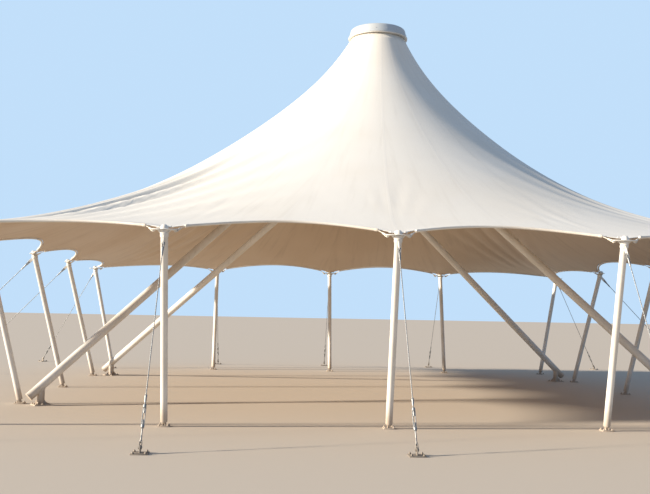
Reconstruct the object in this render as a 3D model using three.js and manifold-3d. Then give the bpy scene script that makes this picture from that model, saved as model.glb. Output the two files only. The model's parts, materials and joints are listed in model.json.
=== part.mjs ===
// Conic membrane canopy: a high-point tent on sixteen leaning masts, with four struts inside that
// carry a king post and its peak ring. Millimetres, +Z up, front side towards -Y, left side at -X.
import * as THREE from 'three';
import { mergeVertices } from 'three/addons/utils/BufferGeometryUtils.js';
import Module from 'manifold-3d';

const wasm = await Module();
wasm.setup();

// Plan and heights
const HEAD_HEIGHT = 3000;
const BAY = 3480;
const HEAD_HALF = 7200;
const FOOT_HALF = 6450;
const STAY_REACH_FRONT = 1850;
const STAY_REACH_SIDE = 2700;
const CORNER_REACH = 0.85;

// Membrane
const SCALLOP_SAG = 500;
const PROFILE_STRAIGHT = 0.41;
const PROFILE_POWER = 1.67;
const PROFILE_NECK = 0.1;
const NECK_POWER = 12;
const CORNER_POWER = 2.6;
const MEMBRANE_THICK = 12;
const STEPS_PER_BAY = 6;
const MEMBRANE_ROWS = 7;
const ROW_CROWDING = 1.3;
const PANEL_GAP = 0.3;

// Edge cable in its cuff, and the gap that touching pieces keep
const CUFF_RADIUS = 22;
const CUFF_SIDES = 8;
const CORNER_CUT = 90;
const SEAT_GAP = 0.4;

// Peak
const RING_X = 520;
const SHIFT_REACH = 6000;
const SHIFT_POWER = 1.2;
const RING_RADIUS = 620;
const RING_HEIGHT = 8180;
const RING_FLANGE_INNER = 540;
const RING_FLANGE_OUTER = 690;
const RING_FLANGE_THICK = 16;
const RING_WEB_OUTER = 580;
const RING_WEB_DEPTH = 90;
const RING_SIDES = 32;
const SPOKE_WIDTH = 50;
const SPOKE_DEPTH = 70;
const COLLAR_RADIUS = 130;
const COLLAR_SIDES = 24;
const CAP_LIP = 20;
const CAP_BAND = 185;
const CAP_TOP_RADIUS = 635;
const CAP_RISE = 70;
const CAP_WALL = 8;
const DOME_STEPS = 4;

// King post and struts
const POST_FOOT_X = -160;
const POST_FOOT_HEIGHT = 5020;
const POST_RADIUS = 85;
const POST_PLATE_THICK = 40;
const FRONT_STRUT_TOP = 6660;
const BACK_STRUT_TOP = 5430;
const STRUT_FOOT_X = 6217;
const STRUT_FOOT_Y = 3802;
const STRUT_FOOT_HEIGHT = 149;
const STRUT_RADIUS = 80;
const STRUT_SIDES = 16;
const HUB_STUB_LENGTH = 320;
const HUB_STUB_RADIUS = 62;
const SADDLE_DISTANCE = 300;
const PEDESTAL_PLATE = 300;
const PEDESTAL_PLATE_THICK = 20;
const PEDESTAL_RADIUS = 65;

// Masts
const MAST_RADIUS = 55;
const MAST_SIDES = 10;
const MAST_TUBE_START = 50;
const MAST_PLATE = 180;
const MAST_PLATE_THICK = 16;
const SHOE_WIDTH = 70;
const SHOE_DEPTH = 90;
const SHOE_HEIGHT = 110;
const HEAD_PLATE_LENGTH = 360;
const HEAD_PLATE_DEPTH = 170;
const CORNER_PLATE_DEPTH = 300;
const HEAD_PLATE_THICK = 14;
const LUG_DROP = 110;
const LUG_LENGTH = 190;
const LUG_RADIUS = 26;

// Stays
const STAY_RADIUS = 9;
const STAY_SIDES = 8;
const SOCKET_RADIUS = 17;
const SOCKET_LENGTH = 160;
const TURNBUCKLE_RADIUS = 24;
const TURNBUCKLE_START = 260;
const TURNBUCKLE_LENGTH = 330;
const ANCHOR_PLATE = 220;
const ANCHOR_PLATE_THICK = 14;
const ANCHOR_EAR_WIDTH = 30;
const ANCHOR_EAR_DEPTH = 90;
const ANCHOR_EAR_HEIGHT = 110;
const ANCHOR_PIN_HEIGHT = 80;

const vec = (x, y, z) => new THREE.Vector3(x, y, z);
const Z_AXIS = vec(0, 0, 1);

const finish = (color, roughness, metalness) =>
  new THREE.MeshStandardMaterial({ color, roughness, metalness });
const MEMBRANE = finish(0xf1ece0, 0.55, 0);
const CUFF = finish(0xe9e4d8, 0.6, 0);
const WHITE_STEEL = finish(0xeceae4, 0.4, 0.1);
const GALVANISED = finish(0xb7babb, 0.45, 0.8);

const model = new THREE.Group();

function addPart(name, geometry, material, turn = 0, position = vec(0, 0, 0)) {
  const mesh = new THREE.Mesh(geometry, material);
  mesh.name = name;
  mesh.rotation.z = turn;
  mesh.position.copy(position);
  model.add(mesh);
}

// Simple shapes
function boxOn(center, width, depth, low, high) {
  const box = new THREE.BoxGeometry(width, depth, high - low);
  return box.translate(center.x, center.y, (low + high) / 2);
}

function rodBetween(start, end, radius, sides) {
  const along = end.clone().sub(start);
  const rod = new THREE.CylinderGeometry(radius, radius, along.length(), sides);
  rod.applyQuaternion(new THREE.Quaternion().setFromUnitVectors(vec(0, 1, 0), along.normalize()));
  return rod.translate((start.x + end.x) / 2, (start.y + end.y) / 2, (start.z + end.z) / 2);
}

function ringOf(points, segments) {
  const outline = points.map(([radius, height]) => new THREE.Vector2(radius, height));
  const lathe = new THREE.LatheGeometry([...outline, outline[0]], segments);
  return lathe.rotateX(Math.PI / 2);
}

// Joins
function toManifold(geometry) {
  const bare = geometry.clone();
  bare.deleteAttribute('normal');
  bare.deleteAttribute('uv');
  const merged = mergeVertices(bare, 1e-3);
  const vertProperties = new Float32Array(merged.attributes.position.array);
  const triVerts = new Uint32Array(merged.index.array);
  return new wasm.Manifold(new wasm.Mesh({ numProp: 3, vertProperties, triVerts }));
}

function asGeometry(solid) {
  const joined = solid.getMesh();
  const geometry = new THREE.BufferGeometry();
  geometry.setAttribute('position', new THREE.BufferAttribute(new Float32Array(joined.vertProperties), 3));
  geometry.setIndex(new THREE.BufferAttribute(new Uint32Array(joined.triVerts), 1));
  geometry.computeVertexNormals();
  return geometry;
}

function fused(pieces) {
  return pieces.map(toManifold).reduce((sum, next) => sum.add(next));
}

function fuse(pieces) {
  return asGeometry(fused(pieces));
}

function fuseAndCut(pieces, room) {
  return asGeometry(fused(pieces).subtract(toManifold(room)));
}

// A solid swept through rings of equal point count; each end is closed point against mirrored point.
function loft(rings) {
  const count = rings[0].length;
  const index = [];
  const quad = (a, b, c, d) => index.push(a, b, c, a, c, d);
  for (let r = 0; r < rings.length - 1; r += 1) {
    for (let i = 0; i < count; i += 1) {
      const next = (i + 1) % count;
      quad(r * count + i, r * count + next, (r + 1) * count + next, (r + 1) * count + i);
    }
  }
  const last = (rings.length - 1) * count;
  for (let i = 0; i < count / 2 - 1; i += 1) {
    quad(count - 1 - i, count - 2 - i, i + 1, i);
    quad(last + i, last + i + 1, last + count - 2 - i, last + count - 1 - i);
  }
  const geometry = new THREE.BufferGeometry().setFromPoints(rings.flat());
  geometry.setIndex(index);
  geometry.computeVertexNormals();
  return geometry;
}

// How much of the drop is left at a share of the way out, 1 at the peak ring and 0 at the square. A ray
// towards a corner is longer than one towards a side's middle, by the ratio stretch. It drops like the
// others at first, which keeps the upper cone round, and runs out flatter.
function dropLeft(share, stretch) {
  return Math.max(0, 1 - share * stretch + (stretch - 1) * share ** CORNER_POWER);
}

// The cone's height at that point, from 0 to 1: hollow, and steeper in the neck under the ring.
function climb(left) {
  const hollow = (1 - PROFILE_STRAIGHT - PROFILE_NECK) * left ** PROFILE_POWER;
  return PROFILE_STRAIGHT * left + hollow + PROFILE_NECK * left ** NECK_POWER;
}

// A point of the cone on the ray to the rim at x, y, a part of the way out from the ring. The cone
// spans the whole square through the mast heads, and the scalloped rim is cut into it. The higher a
// point lies, the further it is moved over towards the ring, whose middle is beside the square's.
function canopyPoint(x, y, part) {
  const spread = Math.hypot(x, y);
  const square = (HEAD_HALF * spread) / Math.max(Math.abs(x), Math.abs(y));
  const out = (spread - RING_RADIUS) * part;
  const stretch = (square - RING_RADIUS) / (HEAD_HALF - RING_RADIUS);
  const left = dropLeft(out / (square - RING_RADIUS), stretch);
  const reach = (RING_RADIUS + out) / spread;
  const shift = RING_X * Math.max(0, 1 - out / SHIFT_REACH) ** SHIFT_POWER;
  return vec(x * reach + shift, y * reach, THREE.MathUtils.lerp(HEAD_HEIGHT, RING_HEIGHT, climb(left)));
}

// The canopy's rim along the front side: four scallops between the five mast heads, each drawn in at
// its middle, at the height that the cone has there.
const HEADS = [-HEAD_HALF, -BAY, 0, BAY, HEAD_HALF];

function frontRim() {
  const points = [];
  for (let bay = 0; bay < HEADS.length - 1; bay += 1) {
    for (let step = 0; step < STEPS_PER_BAY; step += 1) {
      const t = step / STEPS_PER_BAY;
      const x = THREE.MathUtils.lerp(HEADS[bay], HEADS[bay + 1], t);
      points.push(canopyPoint(x, -HEAD_HALF + SCALLOP_SAG * 4 * t * (1 - t), 1));
    }
  }
  points.push(vec(HEAD_HALF, -HEAD_HALF, HEAD_HEIGHT));
  return points;
}

// For each rim point, the flat direction that bisects its two neighbours, towards the middle of the
// tent, stretched so that a line moved along it stays parallel to the rim.
function inwardMitres(rim) {
  const quarterTurn = (point, turn) => point.clone().applyAxisAngle(Z_AXIS, turn);
  const before = quarterTurn(rim[rim.length - 2], -Math.PI / 2);
  const after = quarterTurn(rim[1], Math.PI / 2);
  const padded = [before, ...rim, after];
  return rim.map((point, i) => {
    const inward = [[padded[i], point], [point, padded[i + 2]]].map(([a, b]) => {
      const flat = vec(b.x - a.x, b.y - a.y, 0).normalize();
      return vec(-flat.y, flat.x, 0);
    });
    const bisector = inward[0].clone().add(inward[1]).normalize();
    return bisector.divideScalar(bisector.dot(inward[0]));
  });
}

const RIM = frontRim();
const MITRES = inwardMitres(RIM);

function membranePanel(turn) {
  const inset = CUFF_RADIUS + SEAT_GAP;
  const columns = RIM.map((point, i) => {
    const edge = point.clone().addScaledVector(MITRES[i], inset).applyAxisAngle(Z_AXIS, turn);
    const side = i === 0 ? 1 : i === RIM.length - 1 ? -1 : 0;
    const aside = vec(side * PANEL_GAP, 0, 0).applyAxisAngle(Z_AXIS, turn);
    const upper = [];
    for (let row = 0; row <= MEMBRANE_ROWS; row += 1) {
      const share = (row / MEMBRANE_ROWS) ** ROW_CROWDING;
      upper.push(canopyPoint(edge.x, edge.y, share).add(aside));
    }
    const lower = upper.map((place) => place.clone().setZ(place.z - MEMBRANE_THICK));
    return [...upper, ...lower.reverse()];
  });
  return loft(columns);
}

function edgeCable() {
  const length = RIM.length;
  const ends = { 0: RIM[1], [length - 1]: RIM[length - 2] };
  const rings = RIM.map((point, i) => {
    const place = point.clone();
    const mitre = MITRES[i].clone();
    if (i in ends) {
      const flat = ends[i].clone().sub(point).setZ(0).normalize();
      place.addScaledVector(flat, CORNER_CUT);
      mitre.set(-flat.y, flat.x, 0).multiplyScalar(i === 0 ? 1 : -1);
    }
    return Array.from({ length: CUFF_SIDES }, (_, k) => {
      const angle = (2 * Math.PI * k) / CUFF_SIDES;
      const out = place.clone().addScaledVector(mitre, CUFF_RADIUS * Math.cos(angle));
      return out.addScaledVector(Z_AXIS, CUFF_RADIUS * Math.sin(angle));
    });
  });
  return loft(rings);
}

// A mast stands at the origin and leans towards -Y. Its lug points down the line of its stay.
function mast(lean, reach, plateDepth) {
  const head = vec(0, -lean, HEAD_HEIGHT - CUFF_RADIUS - SEAT_GAP);
  const plateLow = head.z - HEAD_PLATE_THICK;
  const tubeTop = vec(0, -lean, plateLow + HEAD_PLATE_THICK / 2);
  const lug = stayLine(lean, reach);
  return fuse([
    boxOn(vec(0, 0, 0), MAST_PLATE, MAST_PLATE, 0, MAST_PLATE_THICK),
    boxOn(vec(0, 0, 0), SHOE_WIDTH, SHOE_DEPTH, MAST_PLATE_THICK / 2, SHOE_HEIGHT),
    rodBetween(vec(0, 0, MAST_TUBE_START), tubeTop, MAST_RADIUS, MAST_SIDES),
    boxOn(head, HEAD_PLATE_LENGTH, plateDepth, plateLow, head.z),
    rodBetween(lug.start, lug.lugEnd, LUG_RADIUS, STAY_SIDES),
  ]);
}

// The stay's straight line from the mast head to its ground anchor, in the mast's own frame.
function stayLine(lean, reach) {
  const start = vec(0, -lean, HEAD_HEIGHT - LUG_DROP);
  const end = vec(0, -lean - reach, ANCHOR_PIN_HEIGHT);
  const along = end.clone().sub(start).normalize();
  const lugEnd = start.clone().addScaledVector(along, LUG_LENGTH);
  return { start, end, along, lugEnd };
}

function stay(lean, reach) {
  const { end, along, lugEnd } = stayLine(lean, reach);
  const up = (distance) => end.clone().addScaledVector(along, -distance);
  const top = lugEnd.clone().addScaledVector(along, SEAT_GAP);
  const socketEnd = top.clone().addScaledVector(along, SOCKET_LENGTH);
  const foot = vec(0, end.y, 0);
  return fuse([
    rodBetween(top, socketEnd, SOCKET_RADIUS, STAY_SIDES),
    rodBetween(top.clone().addScaledVector(along, SOCKET_LENGTH / 2), end, STAY_RADIUS, STAY_SIDES),
    rodBetween(up(TURNBUCKLE_START), up(TURNBUCKLE_START + TURNBUCKLE_LENGTH), TURNBUCKLE_RADIUS, STAY_SIDES),
    boxOn(foot, ANCHOR_EAR_WIDTH, ANCHOR_EAR_DEPTH, ANCHOR_PLATE_THICK / 2, ANCHOR_EAR_HEIGHT),
    boxOn(foot, ANCHOR_PLATE, ANCHOR_PLATE, 0, ANCHOR_PLATE_THICK),
  ]);
}

// Peak: a flanged ring on four spokes, its cap, and the king post that carries it
function peakRing() {
  const low = RING_HEIGHT + SEAT_GAP;
  const ring = ringOf([
    [RING_FLANGE_INNER, low - RING_WEB_DEPTH],
    [RING_WEB_OUTER, low - RING_WEB_DEPTH],
    [RING_WEB_OUTER, low],
    [RING_FLANGE_OUTER, low],
    [RING_FLANGE_OUTER, low + RING_FLANGE_THICK],
    [RING_FLANGE_INNER, low + RING_FLANGE_THICK],
  ], RING_SIDES);
  const spokeLow = low - SPOKE_DEPTH;
  const spokeLength = RING_FLANGE_INNER + RING_WEB_OUTER;
  const spokes = [
    boxOn(vec(0, 0, 0), spokeLength, SPOKE_WIDTH, spokeLow, low),
    boxOn(vec(0, 0, 0), SPOKE_WIDTH, spokeLength, spokeLow, low),
  ];
  const collar = rodBetween(vec(0, 0, spokeLow), vec(0, 0, low), COLLAR_RADIUS, COLLAR_SIDES);
  return fuse([ring, ...spokes, collar]);
}

function peakCap() {
  const low = RING_HEIGHT + 2 * SEAT_GAP + RING_FLANGE_THICK;
  const bandTop = low + CAP_BAND;
  const dome = (radius, lift) => Array.from({ length: DOME_STEPS + 1 }, (_, i) => {
    const share = i / DOME_STEPS;
    return [radius * (1 - share), bandTop + lift * (1 - (1 - share) ** 2)];
  });
  const lip = (radius) => [[radius, low], [radius, low + CAP_LIP]];
  const outer = [...lip(RING_FLANGE_OUTER), ...dome(CAP_TOP_RADIUS, CAP_RISE)];
  const innerDome = dome(CAP_TOP_RADIUS - CAP_WALL, CAP_RISE - CAP_WALL);
  const inner = [...lip(RING_FLANGE_OUTER - CAP_WALL), ...innerDome];
  return ringOf([...outer, ...inner.reverse()], RING_SIDES);
}

// The king post leans a little: its foot hangs at POST_FOOT_X and its top stands under the ring.
function postAxis(height) {
  const share = (height - POST_FOOT_HEIGHT) / (RING_HEIGHT - SPOKE_DEPTH - POST_FOOT_HEIGHT);
  return vec(THREE.MathUtils.lerp(POST_FOOT_X, RING_X, share), 0, height);
}

function strutLine(sideX, sideY) {
  const foot = vec(sideX * STRUT_FOOT_X, sideY * STRUT_FOOT_Y, STRUT_FOOT_HEIGHT);
  const top = postAxis(sideY < 0 ? FRONT_STRUT_TOP : BACK_STRUT_TOP);
  const along = top.clone().sub(foot).normalize();
  return { foot, top, along };
}

const STRUTS = [
  ['front_left', -1, -1],
  ['front_right', 1, -1],
  ['back_right', 1, 1],
  ['back_left', -1, 1],
];

function kingPost() {
  const plateTop = RING_HEIGHT - SPOKE_DEPTH;
  const plateLow = plateTop - POST_PLATE_THICK;
  const stubs = STRUTS.map(([, sideX, sideY]) => {
    const { top: joint, along } = strutLine(sideX, sideY);
    const tip = joint.clone().addScaledVector(along, -HUB_STUB_LENGTH);
    return rodBetween(joint, tip, HUB_STUB_RADIUS, STRUT_SIDES);
  });
  const postTop = postAxis(plateTop - POST_PLATE_THICK / 2);
  return fuse([
    rodBetween(postAxis(POST_FOOT_HEIGHT), postTop, POST_RADIUS, STRUT_SIDES),
    boxOn(vec(RING_X, 0, 0), 2 * COLLAR_RADIUS, 2 * COLLAR_RADIUS, plateLow, plateTop),
    ...stubs,
  ]);
}

function strut(sideX, sideY) {
  const { foot, top, along } = strutLine(sideX, sideY);
  const high = top.clone().addScaledVector(along, -HUB_STUB_LENGTH - SEAT_GAP);
  return rodBetween(foot, high, STRUT_RADIUS, STRUT_SIDES);
}

// A strut's foot is cut square. A little above it, the strut lies in the hollowed top of a short post.
function pedestal(sideX, sideY) {
  const { foot, along } = strutLine(sideX, sideY);
  const seat = foot.clone().addScaledVector(along, SADDLE_DISTANCE);
  const beyond = seat.clone().addScaledVector(along, SADDLE_DISTANCE);
  const plate = boxOn(vec(0, 0, 0), PEDESTAL_PLATE, PEDESTAL_PLATE, 0, PEDESTAL_PLATE_THICK);
  plate.rotateZ(Math.atan2(along.y, along.x)).translate(seat.x, seat.y, 0);
  const post = rodBetween(vec(seat.x, seat.y, PEDESTAL_PLATE_THICK / 2), seat, PEDESTAL_RADIUS, STRUT_SIDES);
  const room = rodBetween(foot, beyond, STRUT_RADIUS + SEAT_GAP, STRUT_SIDES);
  return fuseAndCut([plate, post], room);
}

// The four sides, front first and then anticlockwise from above
const SIDES = ['front', 'right', 'back', 'left'];
const CORNERS = ['front_right', 'back_right', 'back_left', 'front_left'];
const LEAN = HEAD_HALF - FOOT_HALF;
const MAST_GEOMETRY = {};
const STAY_GEOMETRY = {};
for (const [kind, reach] of [['front', STAY_REACH_FRONT], ['side', STAY_REACH_SIDE]]) {
  MAST_GEOMETRY[kind] = mast(LEAN, reach, HEAD_PLATE_DEPTH);
  STAY_GEOMETRY[kind] = stay(LEAN, reach);
}
const cornerLean = LEAN * Math.SQRT2;
const cornerReach = CORNER_REACH * (STAY_REACH_FRONT + STAY_REACH_SIDE) / 2 * Math.SQRT2;
const CORNER_MAST = mast(cornerLean, cornerReach, CORNER_PLATE_DEPTH);
const CORNER_STAY = stay(cornerLean, cornerReach);
const EDGE_CABLE = edgeCable();

SIDES.forEach((side, k) => {
  const turn = (k * Math.PI) / 2;
  const kind = k % 2 === 0 ? 'front' : 'side';
  addPart(`membrane_${side}`, membranePanel(turn), MEMBRANE);
  addPart(`edge_cable_${side}`, EDGE_CABLE, CUFF, turn);
  [-BAY, 0, BAY].forEach((x, i) => {
    const foot = vec(x, -FOOT_HALF, 0).applyAxisAngle(Z_AXIS, turn);
    addPart(`${side}_mast_${i + 1}`, MAST_GEOMETRY[kind], WHITE_STEEL, turn, foot);
    addPart(`${side}_stay_${i + 1}`, STAY_GEOMETRY[kind], GALVANISED, turn, foot);
  });
  const cornerFoot = vec(FOOT_HALF, -FOOT_HALF, 0).applyAxisAngle(Z_AXIS, turn);
  const cornerTurn = turn + Math.PI / 4;
  addPart(`corner_mast_${CORNERS[k]}`, CORNER_MAST, WHITE_STEEL, cornerTurn, cornerFoot);
  addPart(`corner_stay_${CORNERS[k]}`, CORNER_STAY, GALVANISED, cornerTurn, cornerFoot);
});

for (const [place, sideX, sideY] of STRUTS) {
  addPart(`strut_${place}`, strut(sideX, sideY), WHITE_STEEL);
  addPart(`pedestal_${place}`, pedestal(sideX, sideY), WHITE_STEEL);
}
addPart('king_post', kingPost(), WHITE_STEEL);
addPart('peak_ring', peakRing(), WHITE_STEEL, 0, vec(RING_X, 0, 0));
addPart('peak_cap', peakCap(), WHITE_STEEL, 0, vec(RING_X, 0, 0));

export default model;
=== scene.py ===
# %% [markdown]
# # A conic membrane canopy
# A white membrane is pulled up to a ring at the peak and down to sixteen leaning masts round a
# square. Wire ropes tie the mast heads back to the ground, and four long struts inside carry a king
# post under the ring. The imported CAD model is loaded first, because it is the frame that every piece
# has to fit.

import json
from math import atan2, cos, exp, pi, sin, tau

import bmesh
import bpy
from mathutils import Matrix, Vector, noise

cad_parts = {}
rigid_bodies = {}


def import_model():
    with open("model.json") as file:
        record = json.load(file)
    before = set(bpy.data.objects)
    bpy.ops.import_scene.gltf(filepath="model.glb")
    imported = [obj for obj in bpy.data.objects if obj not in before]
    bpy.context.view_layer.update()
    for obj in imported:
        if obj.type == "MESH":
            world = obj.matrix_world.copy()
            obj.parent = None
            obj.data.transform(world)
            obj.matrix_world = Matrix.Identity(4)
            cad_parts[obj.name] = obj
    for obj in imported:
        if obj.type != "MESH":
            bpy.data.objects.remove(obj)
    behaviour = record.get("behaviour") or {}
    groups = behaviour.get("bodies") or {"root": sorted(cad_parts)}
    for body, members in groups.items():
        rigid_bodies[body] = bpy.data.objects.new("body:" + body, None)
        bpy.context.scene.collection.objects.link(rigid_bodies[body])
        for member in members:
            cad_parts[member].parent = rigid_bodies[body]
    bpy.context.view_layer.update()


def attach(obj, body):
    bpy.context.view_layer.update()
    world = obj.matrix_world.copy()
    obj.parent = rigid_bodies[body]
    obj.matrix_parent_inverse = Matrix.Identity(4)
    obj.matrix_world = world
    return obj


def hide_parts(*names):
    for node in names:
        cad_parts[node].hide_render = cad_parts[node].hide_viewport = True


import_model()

# %% [markdown]
# ## Camera
# The photographer stood in front of the left half of the canopy, at eye height, and tilted the
# camera up a little. The place, the three angles and the lens were found from the mast feet and
# heads. The camera's axes are written as the columns of its matrix, which keeps the slight roll.

# %% Camera
YAW, PITCH, ROLL = 0.0651, 0.0710, 0.0190
CAMERA_PLACE = Vector((-1.960, -20.379, 1.827))
FOCAL_LENGTH = 49.18


def camera_matrix():
    """The camera's place and axes, from its three angles."""
    forward = Vector((sin(YAW) * cos(PITCH), cos(YAW) * cos(PITCH), sin(PITCH)))
    level = Vector((cos(YAW), -sin(YAW), 0))
    upright = level.cross(forward)
    across = level * cos(ROLL) + upright * sin(ROLL)
    up = upright * cos(ROLL) - level * sin(ROLL)
    matrix = Matrix((across, up, -forward)).transposed().to_4x4()
    matrix.translation = CAMERA_PLACE
    return matrix


camera = bpy.data.objects.new("camera", bpy.data.cameras.new("camera"))
camera.data.sensor_width = 36
camera.data.lens = FOCAL_LENGTH
camera.data.clip_end = 500
camera.matrix_world = camera_matrix()
bpy.context.collection.objects.link(camera)
bpy.context.scene.camera = camera
print("camera at", [round(value, 2) for value in camera.location])

# %% [markdown]
# ## Light
# One lamp stands far off at the left, low and just in front of side-on, so that the cone's right
# face falls into shade as it does outdoors late in the day. A blue backdrop fills the shade from all
# round. The camera sees that backdrop brighter than the light it gives, so that it reads as sky.

# %% Light and backdrop
SUN_BEARING = -1.42
SUN_HEIGHT = 0.29
SUN_STRENGTH = 8.5
FILL_BLUE = (0.44, 0.60, 0.84, 1)
FILL_STRENGTH = 0.55
BACKDROP_BLUE = (0.54, 0.74, 0.96, 1)

sun = bpy.data.objects.new("key_light", bpy.data.lights.new("key_light", "SUN"))
sun.data.energy = SUN_STRENGTH
sun.data.angle = 0.06
sun.data.color = (1.0, 0.88, 0.72)
level_share = cos(SUN_HEIGHT)
to_sun = Vector((sin(SUN_BEARING) * level_share, -cos(SUN_BEARING) * level_share, sin(SUN_HEIGHT)))
sun.rotation_euler = to_sun.to_track_quat("Z", "Y").to_euler()
bpy.context.collection.objects.link(sun)

world = bpy.data.worlds.new("soft_backdrop")
world.use_nodes = True
nodes, links = world.node_tree.nodes, world.node_tree.links
fill = nodes["Background"]
fill.inputs["Color"].default_value = FILL_BLUE
fill.inputs["Strength"].default_value = FILL_STRENGTH
seen = nodes.new("ShaderNodeBackground")
seen.inputs["Color"].default_value = BACKDROP_BLUE
either = nodes.new("ShaderNodeMixShader")
links.new(nodes.new("ShaderNodeLightPath").outputs["Is Camera Ray"], either.inputs["Fac"])
links.new(fill.outputs[0], either.inputs[1])
links.new(seen.outputs[0], either.inputs[2])
links.new(either.outputs[0], nodes["World Output"].inputs["Surface"])
bpy.context.scene.world = world
bpy.context.scene.view_settings.view_transform = "Standard"
print("light comes from", [round(value, 2) for value in to_sun])

# %% [markdown]
# ## Node helpers
# Every finish here is built from nodes. A few short helpers keep the materials readable: one adds a
# node with its settings and links, others do the same for the nodes that turn up most, such as noise
# and bump, one opens a node group with named sockets, and one starts a material.


# %% Node helpers
def fill_in(tree, node, inputs):
    """Sets the node's inputs, given by name or number. A value that is a socket is linked."""
    for key, value in inputs.items():
        if isinstance(value, bpy.types.NodeSocket):
            tree.links.new(value, node.inputs[key])
        else:
            node.inputs[key].default_value = value


def add(tree, kind, inputs=None, **settings):
    """A shader node of that kind."""
    made = tree.nodes.new("ShaderNode" + kind)
    for name, value in settings.items():
        setattr(made, name, value)
    fill_in(tree, made, inputs or {})
    return made


def mix(tree, share, low, high):
    """The colour between low and high at that share."""
    return add(tree, "Mix", {0: share, 6: low, 7: high}, data_type="RGBA").outputs[2]


def sums(tree, operation, first, second=0.5, third=0.5):
    """The result of one Math node."""
    return add(tree, "Math", {0: first, 1: second, 2: third}, operation=operation).outputs[0]


def ramp(tree, value, low, high, out_low=0.0, out_high=1.0):
    """value carried from the range low to high into out_low to out_high, with soft ends."""
    inputs = {"Value": value, "From Min": low, "From Max": high}
    inputs |= {"To Min": out_low, "To Max": out_high}
    return add(tree, "MapRange", inputs, interpolation_type="SMOOTHSTEP").outputs[0]


def grain(tree, place, scale, detail, distortion=0.0):
    """Noise between 0 and 1."""
    inputs = {"Vector": place, "Scale": scale, "Detail": detail, "Distortion": distortion}
    return add(tree, "TexNoise", inputs).outputs["Fac"]


def stretched(tree, place, scale, rotation=(0, 0, 0)):
    """The place turned and scaled, for a pattern that is longer one way."""
    return add(tree, "Mapping", {"Vector": place, "Rotation": rotation, "Scale": scale}).outputs[0]


def bump(tree, height, strength, distance, **over):
    """A normal for that height. over may name the Normal that it is laid on."""
    inputs = {"Height": height, "Strength": strength, "Distance": distance}
    return add(tree, "Bump", inputs | over).outputs[0]


print("node helpers ready")


# %% Groups and materials
SOCKETS = {"colour": "NodeSocketColor", "number": "NodeSocketFloat", "vector": "NodeSocketVector"}


def open_group(name, inputs, outputs):
    """A new node group, its input sockets' values and its output node."""
    group = bpy.data.node_groups.new(name, "ShaderNodeTree")
    for way, sockets in (("INPUT", inputs), ("OUTPUT", outputs)):
        for label, kind in sockets.items():
            group.interface.new_socket(label, in_out=way, socket_type=SOCKETS[kind])
    given = group.nodes.new("NodeGroupInput").outputs
    return group, given, group.nodes.new("NodeGroupOutput")


def use_group(tree, group, inputs):
    """The outputs of a group that is placed in a material."""
    return add(tree, "Group", inputs, node_tree=group).outputs


def open_material(name):
    """A new material, its tree and its Principled shader."""
    made = bpy.data.materials.new(name)
    made.use_nodes = True
    return made, made.node_tree, made.node_tree.nodes["Principled BSDF"]


print("sockets", sorted(SOCKETS))

# %% [markdown]
# ## Shared effects
# Four effects turn up on more than one surface. Patches are the slow drift in tone that sun and rain
# leave on anything outdoors. Dust is what the wind lays on the lowest part of every post. Scuffs are
# fine marks from handling. Weave is the base cloth that shows faintly through a coating. Each is a
# group that puts out colours, masks or heights, and every material sets its own values.


# %% Patches
def make_patches():
    group, given, result = open_group(
        "patches",
        {
            "Place": "vector",
            "Size": "number",
            "Colour": "colour",
            "Worn Colour": "colour",
            "Amount": "number",
        },
        {"Colour": "colour", "Mask": "number"},
    )
    mask = ramp(group, grain(group, given["Place"], given["Size"], 5.0), 0.38, 0.68)
    share = sums(group, "MULTIPLY", mask, given["Amount"])
    colour = mix(group, share, given["Colour"], given["Worn Colour"])
    fill_in(group, result, {"Colour": colour, "Mask": mask})
    return group


PATCHES = make_patches()
print("group", PATCHES.name)


# %% Dust near the ground
def make_dust():
    group, given, result = open_group(
        "ground_dust",
        {
            "Place": "vector",
            "Colour": "colour",
            "Dust": "colour",
            "Height": "number",
            "Amount": "number",
        },
        {"Colour": "colour", "Mask": "number"},
    )
    parts = add(group, "SeparateXYZ", {0: given["Place"]})
    ragged = sums(group, "MULTIPLY_ADD", grain(group, given["Place"], 9.0, 6.0), -0.5, 0.25)
    level = sums(group, "DIVIDE", parts.outputs["Z"], given["Height"])
    low = ramp(group, sums(group, "ADD", level, ragged), 0.0, 1.0, 1.0, 0.0)
    mask = sums(group, "MULTIPLY", low, given["Amount"])
    colour = mix(group, mask, given["Colour"], given["Dust"])
    fill_in(group, result, {"Colour": colour, "Mask": mask})
    return group


DUST = make_dust()
print("group", DUST.name)


# %% Scuffs
def make_scuffs():
    inputs = {"Place": "vector", "Size": "number"}
    group, given, result = open_group("scuffs", inputs, {"Mask": "number"})
    long_marks = stretched(group, given["Place"], (1.0, 1.0, 0.08), rotation=(0.5, 0.3, 0.7))
    marks = grain(group, long_marks, given["Size"], 3.0, distortion=0.4)
    fill_in(group, result, {"Mask": ramp(group, marks, 0.62, 0.7)})
    return group


SCUFFS = make_scuffs()
print("group", SCUFFS.name)


# %% Weave
def make_weave():
    inputs = {"Place": "vector", "Threads": "number"}
    group, given, result = open_group("weave", inputs, {"Height": "number"})
    bands = {"Vector": given["Place"], "Scale": given["Threads"], "Distortion": 0.3}
    warp, weft = (add(group, "TexWave", bands, bands_direction=way).outputs["Fac"] for way in "XY")
    fill_in(group, result, {"Height": sums(group, "MULTIPLY", warp, weft)})
    return group


WEAVE = make_weave()
print("group", WEAVE.name)

# %% [markdown]
# ## Coated steel
# Masts, struts and the ring are steel tube under thick white paint. The paint has a slight orange
# peel, yellows in patches, and is brown with dust near the ground. One function makes it, so that
# the lid, high up and free of dust, can take the same paint in its own grey.


# %% White paint
YELLOWED = (0.60, 0.55, 0.46, 1)
BROWN_DUST = (0.36, 0.27, 0.19, 1)
SCUFF_GREY = (0.42, 0.39, 0.35, 1)


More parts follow.
